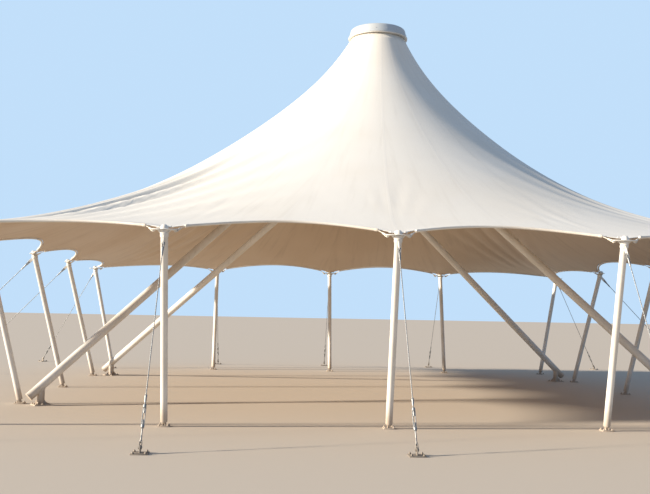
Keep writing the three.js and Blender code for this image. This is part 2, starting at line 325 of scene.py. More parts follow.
def make_paint(name, colour, dust_height):
    """Paint on steel, with dust up to dust_height."""
    made, tree, shader = open_material(name)
    place = add(tree, "TexCoord").outputs["Object"]
    patches = {"Place": place, "Size": 1.7, "Colour": colour, "Worn Colour": YELLOWED, "Amount": 0.35}
    patched = use_group(tree, PATCHES, patches)["Colour"]
    dust = {"Place": place, "Colour": patched, "Dust": BROWN_DUST, "Height": dust_height}
    dusty = use_group(tree, DUST, dust | {"Amount": 0.75})
    scuffs = use_group(tree, SCUFFS, {"Place": place, "Size": 14.0})["Mask"]
    shown = mix(tree, sums(tree, "MULTIPLY", scuffs, 0.22), dusty["Colour"], SCUFF_GREY)
    rough = sums(tree, "MULTIPLY_ADD", dusty["Mask"], 0.4, 0.38)
    rough = sums(tree, "MULTIPLY_ADD", scuffs, 0.15, rough)
    orange_peel = bump(tree, grain(tree, place, 90.0, 2.0), 0.12, 0.004)
    fill_in(tree, shader, {"Base Color": shown, "Roughness": rough, "Normal": orange_peel})
    return made


WHITE_PAINT = make_paint("white_paint", (0.80, 0.78, 0.74, 1), 0.55)
CAP_PAINT = make_paint("cap_paint", (0.50, 0.56, 0.62, 1), 0.001)
print("paint", WHITE_PAINT.name, CAP_PAINT.name)

# %% [markdown]
# ## Bare metal
# The stays are galvanised: the zinc dries in flat crystals, which read as patches of lighter and
# darker grey. A cell texture gives each crystal its own tone. Bolts, pins and forks are brighter.


# %% Galvanised steel
METAL_DUST = (0.33, 0.26, 0.19, 1)


def make_metal(name, dark, light, crystal, roughness):
    """Bare metal whose crystals lie between two tones. A larger crystal value makes them smaller."""
    made, tree, shader = open_material(name)
    place = add(tree, "TexCoord").outputs["Object"]
    cells = add(tree, "TexVoronoi", {"Vector": place, "Scale": crystal})
    tone = add(tree, "SeparateColor", {0: cells.outputs["Color"]}).outputs[0]
    zinc = mix(tree, tone, dark, light)
    dust = {"Place": place, "Colour": zinc, "Dust": METAL_DUST, "Height": 0.35, "Amount": 0.6}
    dusty = use_group(tree, DUST, dust)
    rough = sums(tree, "MULTIPLY_ADD", tone, 0.14, roughness - 0.07)
    rough = sums(tree, "MULTIPLY_ADD", dusty["Mask"], 0.35, rough)
    fill_in(tree, shader, {"Base Color": dusty["Colour"], "Metallic": 0.85, "Roughness": rough})
    fill_in(tree, shader, {"Normal": bump(tree, tone, 0.1, 0.001)})
    return made


ZINC = make_metal("zinc_coating", (0.27, 0.28, 0.29, 1), (0.42, 0.43, 0.43, 1), 90.0, 0.5)
BRIGHT_STEEL = make_metal("bright_steel", (0.62, 0.62, 0.62, 1), (0.74, 0.74, 0.73, 1), 160.0, 0.28)
print("metals", ZINC.name, BRIGHT_STEEL.name)

# %% [markdown]
# ## Coated cloth
# The membrane is polyester cloth coated with a white film. Long strips run from the peak to the rim
# and overlap by a few centimetres, so each weld is a flat double band. Rain draws faint streaks
# down the slope, and dirt stays along the welds. The cloth carries two UV maps: "cloth" gives metres
# across and along a strip, and "margins" gives metres to the next weld and to the rim. The underside
# is the same white cloth painted a darker warm tan. This is painted shade, which stands in for the
# dim, warm light that it gets from the ground.

# %% Cloth
WELD_HALF = 0.028
HEM = 0.097
THREADS = 120.0


def make_cloth(name, colour, worn, streak, streak_amount, weld_tone):
    """One face of the membrane."""
    made, tree, shader = open_material(name)
    place = add(tree, "TexCoord").outputs["Object"]
    cloth = add(tree, "UVMap", uv_map="cloth").outputs[0]
    margins = add(tree, "SeparateXYZ", {0: add(tree, "UVMap", uv_map="margins").outputs[0]}).outputs
    patches = {"Place": place, "Size": 0.45, "Colour": colour, "Worn Colour": worn, "Amount": 0.5}
    patched = use_group(tree, PATCHES, patches)
    rain = grain(tree, stretched(tree, cloth, (7.0, 0.55, 1.0)), 1.0, 5.0)
    streaks = sums(tree, "MULTIPLY", ramp(tree, rain, 0.5, 0.75), streak_amount)
    streaked = mix(tree, streaks, patched["Colour"], streak)
    weld = ramp(tree, margins["X"], WELD_HALF, WELD_HALF + 0.004, 1.0, 0.0)
    hem = ramp(tree, margins["Y"], HEM - 0.002, HEM + 0.002, 1.0, 0.0)
    double = sums(tree, "MAXIMUM", weld, hem)
    welded = mix(tree, sums(tree, "MULTIPLY", double, 0.2), streaked, weld_tone)
    grime = ramp(tree, margins["X"], 0.0, 0.16, 0.07, 0.0)
    soiled = mix(tree, grime, welded, streak)
    rough = sums(tree, "MULTIPLY_ADD", patched["Mask"], 0.12, 0.44)
    woven = use_group(tree, WEAVE, {"Place": cloth, "Threads": THREADS})["Height"]
    step = bump(tree, double, 0.2, 0.002, Normal=bump(tree, woven, 0.08, 0.001))
    fill_in(tree, shader, {"Base Color": soiled, "Roughness": rough, "Normal": step})
    return made


CLOTH_TOP = make_cloth(
    "cloth_top",
    colour=(0.86, 0.83, 0.77, 1),
    worn=(0.79, 0.74, 0.66, 1),
    streak=(0.55, 0.50, 0.43, 1),
    streak_amount=0.14,
    weld_tone=(0.88, 0.86, 0.82, 1),
)
# The underside's colours are painted shade: the white cloth darkened to a warm tan for the light from
# the ground.
CLOTH_UNDER_PAINTED_SHADE = make_cloth(
    "cloth_under_painted_shade",
    colour=(0.61, 0.48, 0.35, 1),
    worn=(0.54, 0.41, 0.29, 1),
    streak=(0.36, 0.26, 0.18, 1),
    streak_amount=0.30,
    weld_tone=(0.56, 0.42, 0.29, 1),
)
print("cloth", CLOTH_TOP.name, CLOTH_UNDER_PAINTED_SHADE.name)


# %% Cuff cloth
CUFF_WHITE = (0.80, 0.76, 0.69, 1)
CUFF_WORN = (0.58, 0.50, 0.41, 1)


def make_cuff_cloth():
    made, tree, shader = open_material("cuff_cloth")
    place = add(tree, "TexCoord").outputs["Object"]
    patches = {"Place": place, "Size": 1.3, "Colour": CUFF_WHITE, "Worn Colour": CUFF_WORN}
    patched = use_group(tree, PATCHES, patches | {"Amount": 0.6})
    rough = sums(tree, "MULTIPLY_ADD", patched["Mask"], 0.15, 0.48)
    woven = use_group(tree, WEAVE, {"Place": place, "Threads": THREADS})["Height"]
    creased = sums(tree, "MULTIPLY_ADD", woven, 0.1, grain(tree, place, 24.0, 4.0))
    normal = bump(tree, creased, 0.35, 0.006)
    fill_in(tree, shader, {"Base Color": patched["Colour"], "Roughness": rough, "Normal": normal})
    return made


CUFF_CLOTH = make_cuff_cloth()
print("cloth", CUFF_CLOTH.name)

# %% [markdown]
# ## Floor
# A plain pale floor, sand coloured, sends the warm light up to the underside that paving does.


# %% Floor
FLOOR_HALF = 180


def make_floor():
    shape = bmesh.new()
    bmesh.ops.create_grid(shape, x_segments=8, y_segments=8, size=FLOOR_HALF)
    mesh = bpy.data.meshes.new("floor")
    shape.to_mesh(mesh)
    shape.free()
    floor = bpy.data.objects.new("floor", mesh)
    sand, tree, shader = open_material("floor_sand")
    fill_in(tree, shader, {"Base Color": (0.56, 0.49, 0.41, 1), "Roughness": 0.9})
    mesh.materials.append(sand)
    bpy.context.collection.objects.link(floor)
    return floor


floor = make_floor()
print("floor", floor.name)

# %% [markdown]
# ## Modelling helpers
# Most steel parts are one of a few shapes: a turned shape, spun about its axis; a bevelled block; a
# flat plate cut to an outline; a rod between two points; or a section carried along a path. Each
# helper returns a bmesh that starts from an operator or a few vertices. A part then waits in a list
# with its material number and the matrix that puts it in place. collect() gathers such a list into
# one mesh, and finish_piece() turns that into an object that rides on the frame.

# %% Places
HERE = Matrix()
STAND_UP = Matrix.Rotation(pi / 2, 4, "X")
EDGE_ON = Matrix.Rotation(pi / 2, 4, "Z") @ STAND_UP


def shift(x, y, z):
    return Matrix.Translation((x, y, z))


def about_z(angle):
    return Matrix.Rotation(angle, 4, "Z")


def square_spots(reach, height):
    """The corners of a square in plan."""
    return [shift(x, y, height) for x in (-reach, reach) for y in (-reach, reach)]


def round_spots(count, radius, height, first=0.0):
    """Spots evenly round a circle, each turned outwards."""
    return [about_z(tau * (k + first) / count) @ shift(radius, 0, height) for k in range(count)]


def along_line(start, end):
    """The matrix that carries the Z axis onto the line from start towards end."""
    turn = (Vector(end) - Vector(start)).to_track_quat("Z", "Y").to_matrix().to_4x4()
    return Matrix.Translation(Vector(start)) @ turn


def moved(parts, matrix):
    """The same parts, carried by the matrix."""
    return [(part, number, matrix @ place) for part, number, place in parts]


print("a plate stood up faces", [round(value) for value in STAND_UP @ Vector((0, 0, 1))])


# %% Turned parts and blocks
def turned(outline, steps=32):
    """Spins an outline of (radius, height) points about Z. It closes at the poles by itself."""
    part = bmesh.new()
    points = [part.verts.new((radius, 0, height)) for radius, height in outline]
    edges = [part.edges.new(pair) for pair in zip(points, points[1:])]
    bmesh.ops.spin(
        part,
        geom=points + edges,
        cent=(0, 0, 0),
        axis=(0, 0, 1),
        angle=tau,
        steps=steps,
        use_merge=True,
        use_duplicate=False,
    )
    bmesh.ops.remove_doubles(part, verts=part.verts, dist=1e-5)
    bmesh.ops.recalc_face_normals(part, faces=part.faces)
    return part


def soften(part, width, segments=2, angle=0.6):
    """Bevels the edges that turn by more than the angle."""
    sharp = [edge for edge in part.edges if edge.calc_face_angle(0) > angle]
    bmesh.ops.bevel(
        part,
        geom=sharp,
        offset=width,
        offset_type="OFFSET",
        affect="EDGES",
        segments=segments,
        profile=0.5,
        material=-1,
        clamp_overlap=True,
    )
    return part


def block(width, depth, height, bevel=0.003):
    """A bevelled block that stands on z = 0, centred in plan."""
    part = bmesh.new()
    bmesh.ops.create_cube(part, size=1, matrix=shift(0, 0, 0.5))
    bmesh.ops.scale(part, vec=(width, depth, height), verts=part.verts)
    return soften(part, bevel)


def both_sides(half):
    """A closed outline from its right half, whose points go from one end to the other."""
    return half + [(-x, y) for x, y in reversed(half) if x]


def cut_plate(outline, thick, bevel=0.002):
    """A plate in the XY plane, cut to an outline of (x, y) points and thick in Z, about z = 0."""
    part = bmesh.new()
    face = part.faces.new([part.verts.new((x, y, -thick / 2)) for x, y in outline])
    grown = bmesh.ops.extrude_face_region(part, geom=[face])["geom"]
    lifted = [item for item in grown if isinstance(item, bmesh.types.BMVert)]
    bmesh.ops.translate(part, vec=(0, 0, thick), verts=lifted)
    bmesh.ops.recalc_face_normals(part, faces=part.faces)
    return soften(part, bevel, 1, 0.9)


print("turned parts, blocks and plates ready")


# %% Rods and sweeps
def rod(start, end, radius, sides=16, bevel=0.0):
    """A round bar between two points."""
    part = bmesh.new()
    length = (Vector(end) - Vector(start)).length
    bmesh.ops.create_cone(
        part,
        cap_ends=True,
        segments=sides,
        radius1=radius,
        radius2=radius,
        depth=length,
        matrix=along_line(start, end) @ shift(0, 0, length / 2),
    )
    return soften(part, bevel, 2, 1.0) if bevel else part


def sweep(section, stations):
    """Carries a closed section, a list of (x, y) points, from one station's matrix to the next."""
    part = bmesh.new()
    points = [part.verts.new(stations[0] @ Vector((x, y, 0))) for x, y in section]
    part.faces.new(points)
    edges = list(part.edges)
    for here, there in zip(stations, stations[1:]):
        grown = bmesh.ops.extrude_edge_only(part, edges=edges)["geom"]
        lifted = {item for item in grown if isinstance(item, bmesh.types.BMVert)}
        bmesh.ops.transform(part, matrix=there @ here.inverted(), verts=list(lifted))
        bars = [item for item in grown if isinstance(item, bmesh.types.BMEdge)]
        edges = [bar for bar in bars if lifted.issuperset(bar.verts)]
    bmesh.ops.contextual_create(part, geom=edges)
    bmesh.ops.recalc_face_normals(part, faces=part.faces)
    return part


def circle_section(radius, sides):
    """A circle as (x, y) points."""
    return [(radius * cos(tau * k / sides), radius * sin(tau * k / sides)) for k in range(sides)]


def stations_along(path):
    """A matrix at each point of the path: Z runs along it, and Y stays as upright as it can."""
    made = []
    for number, point in enumerate(path):
        before = path[max(number - 1, 0)]
        after = path[min(number + 1, len(path) - 1)]
        ahead = (after - before).normalized()
        side = ahead.cross(Vector((0, 0, 1))).normalized()
        station = Matrix((side, ahead.cross(side), ahead)).transposed().to_4x4()
        station.translation = point
        made.append(station)
    return made


print("rods and sweeps ready")


# %% Gather parts into pieces
def collect(parts):
    """One mesh from a list of (part, material number, matrix)."""
    whole = bmesh.new()
    for part, number, place in parts:
        bmesh.ops.transform(part, matrix=place, verts=part.verts)
        for face in part.faces:
            face.material_index = number
            face.smooth = True
        loose = bpy.data.meshes.new("loose")
        part.to_mesh(loose)
        part.free()
        whole.from_mesh(loose)
        bpy.data.meshes.remove(loose)
    mesh = bpy.data.meshes.new("pattern")
    whole.to_mesh(mesh)
    whole.free()
    return mesh


def finish_piece(name, mesh, materials, nodes, matrix=None, crease=0.6):
    """An object at the origin from the mesh, riding on the frame in place of those CAD nodes."""
    own = mesh.copy()
    own.name = name
    if matrix is not None:
        own.transform(matrix)
    own.materials.clear()
    for material in materials:
        own.materials.append(material)
    own.set_sharp_from_angle(angle=crease)
    piece = bpy.data.objects.new(name, own)
    bpy.context.collection.objects.link(piece)
    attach(piece, "root")
    if nodes:
        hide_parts(*nodes)
    return piece


print("collecting ready")

# %% [markdown]
# ## Fasteners
# Every plate is held by the same bolt: a washer, a hexagon nut and the threaded end that stands out
# of it. It is modelled once and stamped wherever it is needed. The pin of a fork is a short bar with
# a flat head on one side and a split pin through the other. On every piece, fasteners take the
# second material, which is the bright one.

# %% Bolt and pin
MAIN, BRIGHT = 0, 1


def make_bolt(size):
    """A nut on its washer over z = 0, for a thread of radius size."""
    washer = turned([(0, 0), (size * 2.3, 0), (size * 2.3, size * 0.3), (0, size * 0.3)], 16)
    nut = bmesh.new()
    bmesh.ops.create_cone(
        nut,
        cap_ends=True,
        segments=6,
        radius1=size * 1.85,
        radius2=size * 1.85,
        depth=size * 1.6,
        matrix=shift(0, 0, size * 1.1),
    )
    soften(nut, size * 0.2, 1)
    thread = rod((0, 0, size * 1.5), (0, 0, size * 3.0), size, 12, bevel=size * 0.2)
    return collect([(part, BRIGHT, HERE) for part in (washer, nut, thread)])


def stamp(pattern, places):
    """A copy of the pattern at each place."""
    parts = []
    for place in places:
        part = bmesh.new()
        part.from_mesh(pattern)
        parts.append((part, BRIGHT, place))
    return parts


def pin_parts(radius, length):
    """A fork pin along X through the origin, with its head at +X."""
    end = length / 2
    hole = radius * 0.6 - end
    bar = rod((-end, 0, 0), (end, 0, 0), radius, 14, bevel=radius * 0.2)
    head = rod((end - radius * 0.6, 0, 0), (end, 0, 0), radius * 1.6, 16, bevel=radius * 0.15)
    split = rod((hole, 0, -radius * 1.8), (hole, 0, radius * 1.8), radius * 0.22, 6)
    return [(part, BRIGHT, HERE) for part in (bar, head, split)]


ANCHOR_BOLT = make_bolt(0.009)
CLAMP_BOLT = make_bolt(0.006)
print("bolt faces", len(ANCHOR_BOLT.polygons))

# %% [markdown]
# ## Masts
# Each mast is a steel tube that stands on a hinged shoe and leans out towards its stay. The tube
# runs down almost to its base plate and ends in a short tongue between two small ears, so that it
# can find its own angle. At the head it has a collar, a round cap and a flat plate for the
# membrane. The tube is an outline spun about its own axis, because tube and collar then come in
# one smooth skin. It is made in the mast's own frame, leaning towards -Y, and stamped sixteen
# times.

# %% Sizes of the masts
HEAD_HEIGHT = 3.0
HEAD_HALF = 7.2
FOOT_HALF = 6.45
BAY = 3.48
LEAN = HEAD_HALF - FOOT_HALF
WELD_DEPTH = 0.004
CUFF_RADIUS = 0.022
SEAT_GAP = 0.0004
HEAD_PLATE_TOP = HEAD_HEIGHT - CUFF_RADIUS - SEAT_GAP
HEAD_PLATE_THICK = 0.014
MAST_RADIUS = 0.055
SHOE_PLATE = 0.18
SHOE_PLATE_THICK = 0.016
SHOE_BOLT_REACH = 0.066
SHOE_PIN_HEIGHT = 0.046
SHOE_PIN_RADIUS = 0.009
SHOE_PIN_LENGTH = 0.064
SHOE_EAR_REACH = 0.018
SHOE_EAR_THICK = 0.012


# %% Mast foot
def mast_foot():
    """Base plate, two ears, the pin through them and four bolts."""
    ear = both_sides([(0.034, 0), (0.028, 0.035), (0.018, 0.05), (0, 0.055)])
    parts = [(block(SHOE_PLATE, SHOE_PLATE, SHOE_PLATE_THICK), MAIN, HERE)]
    for side in (-SHOE_EAR_REACH, SHOE_EAR_REACH):
        stand = shift(side, 0, SHOE_PLATE_THICK - WELD_DEPTH) @ EDGE_ON
        parts.append((cut_plate(ear, SHOE_EAR_THICK), MAIN, stand))
    parts += moved(pin_parts(SHOE_PIN_RADIUS, SHOE_PIN_LENGTH), shift(0, 0, SHOE_PIN_HEIGHT))
    return parts + stamp(ANCHOR_BOLT, square_spots(SHOE_BOLT_REACH, SHOE_PLATE_THICK))


print("shoe pin over the ground", SHOE_PIN_HEIGHT)

# %% Mast tube
COLLAR_RADIUS = MAST_RADIUS + 0.009
TUBE_CUT = 0.028
TONGUE_THICK = 0.02


def tube_ends(lean):
    """The shoe's pin, and the middle of the head plate's thickness."""
    return Vector((0, 0, SHOE_PIN_HEIGHT)), Vector((0, -lean, HEAD_PLATE_TOP - HEAD_PLATE_THICK / 2))


def mast_tube(lean):
    """The tube, which is cut just above the pin and has a collar below the head plate."""
    foot, head = tube_ends(lean)
    length = (head - foot).length
    tube = [(0, TUBE_CUT), (MAST_RADIUS - 0.004, TUBE_CUT), (MAST_RADIUS, TUBE_CUT + 0.004)]
    collar = [
        (MAST_RADIUS, 0.115),
        (MAST_RADIUS + 0.002, 0.112),
        (COLLAR_RADIUS - 0.001, 0.108),
        (COLLAR_RADIUS, 0.102),
        (COLLAR_RADIUS, 0.05),
        (COLLAR_RADIUS - 0.001, 0.044),
        (MAST_RADIUS, 0.040),
    ]
    tube += [(radius, length - below) for radius, below in collar]
    tube += [(MAST_RADIUS, length), (0, length)]
    line = along_line(foot, head)
    tongue = both_sides([(0.02, -0.02), (0.026, 0), (0.026, 0.034)])
    return [(turned(tube), MAIN, line), (cut_plate(tongue, TONGUE_THICK), MAIN, line @ EDGE_ON)]


print("from pin to head plate", round((tube_ends(LEAN)[1] - tube_ends(LEAN)[0]).length, 3))

# %% [markdown]
# At the head the membrane's tip is gripped between the head plate and a shorter clamp bar on top of
# it, and the rim's cables end in forks on two ears under the plate's ends. A round cap closes the
# tube on the outer side. The lug below the plate points straight down the line of the stay. Plate,
# ears and lug are flat bar, so each is an outline cut from a plate.

# %% Mast head
LUG_DROP = 0.11
LUG_LENGTH = 0.19
LUG_THICK = 0.014
ANCHOR_PIN_HEIGHT = 0.08
HEAD_PLATE_REACH = 0.18
CAP_OUTLINE = [(0, 0.072), (0.025, 0.068), (0.045, 0.054), (0.058, 0.03), (0.062, 0), (0, 0)]
OFF_CENTRE = 0.012
EAR_OUTLINE = [(0.115, 0.004), (0.184, 0.004), (0.188, -0.01), (0.18, -0.024), (0.156, -0.024)]
EAR_THICK = 0.014
WEB_OUTLINE = [(0.05, 0), (0.11, 0), (0.05, -0.06)]
WEB_THICK = 0.01


def stay_line(lean, reach):
    """Start, end and direction of a stay in its mast's frame."""
    start = Vector((0, -lean, HEAD_HEIGHT - LUG_DROP))
    end = Vector((0, -lean - reach, ANCHOR_PIN_HEIGHT))
    return start, end, (end - start).normalized()


def head_plate(inner_reach, inner_half):
    """The plate. Its edge under the cloth lies at inner_reach, and is twice inner_half wide."""
    outer = [(0.07, -0.08), (0.165, -0.06), (HEAD_PLATE_REACH, -0.045), (HEAD_PLATE_REACH, 0.03)]
    inner = [(inner_half, inner_reach - 0.01), (inner_half - 0.02, inner_reach)]
    return cut_plate(both_sides(outer + inner), HEAD_PLATE_THICK, 0.003)


def stay_lug():
    """A flat bar up the Z axis with rounded shoulders at its far end."""
    outline = both_sides([(0.03, 0.03), (0.032, LUG_LENGTH - 0.04), (0.02, LUG_LENGTH - 0.006)])
    return cut_plate(outline, LUG_THICK)


def mast_head(lean, reach, inner_reach, inner_half, swing):
    """The head's plates. The ears for the rim cables swing inwards at a corner."""
    head = shift(0, -lean, HEAD_PLATE_TOP)
    middle = head @ shift(0, 0, -HEAD_PLATE_THICK / 2)
    parts = [(head_plate(inner_reach, inner_half), MAIN, middle)]
    parts.append((turned(CAP_OUTLINE, 24), MAIN, head @ shift(0, -OFF_CENTRE, -WELD_DEPTH / 2)))
    for side in (-1, 1):
        below = head @ shift(0, 0, -HEAD_PLATE_THICK) @ about_z(side * swing)
        stand = below @ shift(0, OFF_CENTRE, 0) @ STAND_UP
        for outline, thick in ((EAR_OUTLINE, EAR_THICK), (WEB_OUTLINE, WEB_THICK)):
            plate = cut_plate([(side * x, z) for x, z in outline], thick)
            parts.append((plate, MAIN, stand))
    start, end, _ = stay_line(lean, reach)
    parts.append((stay_lug(), MAIN, along_line(start, end) @ EDGE_ON))
    return parts


print("head plate", 2 * HEAD_PLATE_REACH, "wide, lug", LUG_LENGTH, "long")

# %% Mast patterns
REACH_FRONT = 1.85
REACH_SIDE = 2.70
CORNER_LEAN = LEAN * 2**0.5
CORNER_REACH = 0.85 * (REACH_FRONT + REACH_SIDE) / 2 * 2**0.5


def mast_pattern(lean, reach, inner_reach, inner_half, swing=0.0):
    """A whole mast in its own frame."""
    head = mast_head(lean, reach, inner_reach, inner_half, swing)
    return collect(mast_foot() + mast_tube(lean) + head)


MASTS = {
    "front": mast_pattern(LEAN, REACH_FRONT, 0.085, 0.12),
    "side": mast_pattern(LEAN, REACH_SIDE, 0.085, 0.12),
    "corner": mast_pattern(CORNER_LEAN, CORNER_REACH, 0.15, 0.05, pi / 4),
}
print("mast faces", {kind: len(mesh.polygons) for kind, mesh in MASTS.items()})

# %% [markdown]
# ## Stays
# A stay is a wire rope from the lug to a ground anchor. Strands of wire are laid round each other,
# so the rope's outline is lobed and turns as it goes. A lobed circle is spun about the rope's axis
# with a small step forward each time, which lays all strands in one go. Each end is a pressed
# socket, and a turnbuckle near the ground takes up the slack.

# %% Rope
ROPE_RADIUS = 0.0075
STRANDS = 6
GROOVE_SHARE = 0.78
LAY_LENGTH = 0.12
STEPS_A_TURN = 10


def rope(length):
    """A laid rope up the Z axis from the origin."""
    part = bmesh.new()
    circle = bmesh.ops.create_circle(part, cap_ends=True, segments=3 * STRANDS, radius=ROPE_RADIUS)
    for groove in circle["verts"][::3]:
        groove.co *= GROOVE_SHARE
    steps = max(4, round(length / LAY_LENGTH * STEPS_A_TURN))
    bmesh.ops.spin(
        part,
        geom=list(part.faces),
        cent=(0, 0, 0),
        axis=(0, 0, 1),
        dvec=(0, 0, length / steps),
        angle=tau * length / LAY_LENGTH,
        steps=steps,
        use_duplicate=False,
    )
    bmesh.ops.recalc_face_normals(part, faces=part.faces)
    return part


trial = rope(1.0)
print("faces in a metre of rope", len(trial.faces))
trial.free()

# %% Socket and fork
JAW_THICK = 0.01
ROOT_HEIGHT = 0.02
PIN_SPARE = 0.034


def fork(radius, jaw, gap):
    """A fork that opens towards -Z: two jaws from a pin at the origin up to a round root at jaw."""
    cheek = both_sides([(radius, -radius), (radius * 1.1, 0), (radius, jaw)])
    wide = gap / 2 + JAW_THICK - 0.001
    high = jaw + ROOT_HEIGHT
    root = [(0, jaw - 0.012), (wide, jaw - 0.012), (wide, jaw), (radius * 0.8, high), (0, high)]
    parts = []
    for side in (-1, 1):
        stand = shift(side * (gap + JAW_THICK) / 2, 0, 0) @ EDGE_ON
        parts.append((cut_plate(cheek, JAW_THICK), BRIGHT, stand))
    parts.append((turned(root, 16), BRIGHT, HERE))
    return parts + pin_parts(radius * 0.5, gap + PIN_SPARE)


def socket(length):
    """A pressed socket up the Z axis, waisted where the press has gripped it."""
    taper = min(0.05, 0.8 * (length - 0.036))
    outline = [(0, 0), (0.015, 0), (0.017, 0.008), (0.017, 0.03), (0.0155, 0.036)]
    outline += [(0.0155, length - taper), (0.014, length - 0.4 * taper), (0.010, length), (0, length)]
    return turned(outline, 20)


print("fork and socket ready")

# %% Turnbuckle
TURNBUCKLE_START = 0.26
TURNBUCKLE_LENGTH = 0.33
BOSS_LENGTH = 0.05
BOSS_OUTLINE = [
    (0, 0),
    (0.017, 0),
    (0.022, 0.006),
    (0.022, 0.044),
    (0.017, BOSS_LENGTH),
    (0, BOSS_LENGTH),
]
BAR_OFFSET = 0.017
BAR_RADIUS = 0.0065
BAR_INSET = 0.03
SCREW_RADIUS = 0.0095
SCREW_INSIDE = 0.12
LOW_SCREW_OUTSIDE = 0.13
HIGH_SCREW_OUTSIDE = 0.09


def turnbuckle(length):
    """An open turnbuckle up the Z axis: two end bosses, two side bars and the screws inside."""
    parts = [(turned(BOSS_OUTLINE, 16), MAIN, shift(0, 0, low)) for low in (0, length - BOSS_LENGTH)]
    for side in (-BAR_OFFSET, BAR_OFFSET):
        bar = rod((side, 0, BAR_INSET), (side, 0, length - BAR_INSET), BAR_RADIUS, 10)
        parts.append((bar, MAIN, HERE))
    low_screw = (-LOW_SCREW_OUTSIDE, SCREW_INSIDE)
    high_screw = (length - SCREW_INSIDE, length + HIGH_SCREW_OUTSIDE)
    for low, high in (low_screw, high_screw):
        parts.append((rod((0, 0, low), (0, 0, high), SCREW_RADIUS, 12, bevel=0.001), BRIGHT, HERE))
    return parts


print("turnbuckle from", TURNBUCKLE_START, "to", round(TURNBUCKLE_START + TURNBUCKLE_LENGTH, 2))

# %% Stay
STAY_FORK = {"radius": 0.02, "jaw": 0.075, "gap": 0.018}
FORK_TOP = 0.085
TOP_SOCKET = 0.14
LOW_SOCKET = 0.11
LOW_SOCKET_TOP = 0.12
ROPE_HIDDEN = 0.02
NECK_RADIUS = 0.011
NECK_SPACE = 0.1
LUG_EDGE = 0.03


def stay_parts(lean, reach):
    """Everything from the lug's pin to the anchor's, from the top down."""
    start, end, along = stay_line(lean, reach)
    top = start + along * (LUG_LENGTH - LUG_EDGE)
    down = along_line(top, end)
    up = along_line(end, top)
    rope_low = TURNBUCKLE_START + TURNBUCKLE_LENGTH + ROPE_HIDDEN
    rope_high = (end - top).length - FORK_TOP - TOP_SOCKET + ROPE_HIDDEN
    neck_top = (0, 0, TURNBUCKLE_START - NECK_SPACE)
    neck = rod((0, 0, FORK_TOP), neck_top, NECK_RADIUS, 12, bevel=0.001)
    parts = moved(fork(**STAY_FORK), down)
    parts.append((socket(TOP_SOCKET), BRIGHT, down @ shift(0, 0, FORK_TOP)))
    parts.append((rope(rope_high - rope_low), MAIN, up @ shift(0, 0, rope_low)))
    low_socket = up @ shift(0, 0, rope_low + LOW_SOCKET_TOP) @ Matrix.Rotation(pi, 4, "X")
    parts.append((socket(LOW_SOCKET), BRIGHT, low_socket))
    parts += moved(turnbuckle(TURNBUCKLE_LENGTH), up @ shift(0, 0, TURNBUCKLE_START))
    parts += moved(fork(**STAY_FORK), up)
    parts.append((neck, BRIGHT, up))
    return parts


print("sockets", TOP_SOCKET, LOW_SOCKET)

# %% Ground anchor
ANCHOR_PLATE = 0.22
ANCHOR_PLATE_THICK = 0.014
ANCHOR_BOLT_REACH = 0.08
ANCHOR_EAR_THICK = 0.016


def anchor_parts(lean, reach):
    """The plate on the ground and the ear on it, in line with the stay."""
    foot = shift(0, -lean - reach, 0)
    ear = both_sides([(0.045, 0), (0.04, 0.06), (0.028, 0.085), (0.01, 0.1)])
    stand = foot @ shift(0, 0, ANCHOR_PLATE_THICK - WELD_DEPTH) @ EDGE_ON
    parts = [(block(ANCHOR_PLATE, ANCHOR_PLATE, ANCHOR_PLATE_THICK), MAIN, foot)]
    parts.append((cut_plate(ear, ANCHOR_EAR_THICK), MAIN, stand))
    corners = square_spots(ANCHOR_BOLT_REACH, ANCHOR_PLATE_THICK)
    return parts + moved(stamp(ANCHOR_BOLT, corners), foot)


def stay_pattern(lean, reach):
    """A whole stay in its mast's frame."""
    return collect(stay_parts(lean, reach) + anchor_parts(lean, reach))


STAYS = {
    "front": stay_pattern(LEAN, REACH_FRONT),
    "side": stay_pattern(LEAN, REACH_SIDE),
    "corner": stay_pattern(CORNER_LEAN, CORNER_REACH),
}
print("stay faces", {kind: len(mesh.polygons) for kind, mesh in STAYS.items()})

# %% [markdown]
# Sixteen masts and stays now go to their places. The canopy is square, so the places on the front
# side and at its right corner are carried round by quarter turns. Only the stays differ: at the left
# and the right they run further out.

# %% Place masts and stays
SIDES = ("front", "right", "back", "left")
CORNERS = ("front_right", "back_right", "back_left", "front_left")
STEEL = (WHITE_PAINT, BRIGHT_STEEL)
ROPE_METALS = (ZINC, BRIGHT_STEEL)


def place_posts(label, kind, number, place):
    """One mast and its stay, carried to their place."""
    mast_node = f"corner_mast_{label}" if kind == "corner" else f"{label}_mast_{number}"
    stay_node = mast_node.replace("mast", "stay")
    name = label if kind == "corner" else f"{label}_{number}"
    finish_piece(f"leaning_mast_{name}", MASTS[kind], STEEL, [mast_node], place)
    finish_piece(f"tie_back_{name}", STAYS[kind], ROPE_METALS, [stay_node], place)


for turn, side in enumerate(SIDES):
    quarter = about_z(turn * pi / 2)
    for number, x in enumerate((-BAY, 0, BAY), start=1):
        kind = "front" if turn % 2 == 0 else "side"
        place_posts(side, kind, number, quarter @ shift(x, -FOOT_HALF, 0))
    corner = quarter @ shift(FOOT_HALF, -FOOT_HALF, 0) @ about_z(pi / 4)
    place_posts(CORNERS[turn], "corner", 0, corner)
posts = [piece for piece in bpy.data.objects if piece.name.startswith(("leaning_mast", "tie_back"))]
print("masts and stays", len(posts))

# %% [markdown]
# ## Canopy surface
# From the square through the mast heads, lines run up to the ring at the peak, hollow in height, as
# cloth hangs when it is pulled both ways. High up the cone is round, and it takes the square's shape
# only near the rim. The rim is four scallops a side, cut into that cone where its cable pulls tight.
# These few functions are the whole shape, so the cloth, its cuffs and its clamps ask for the same
# points.

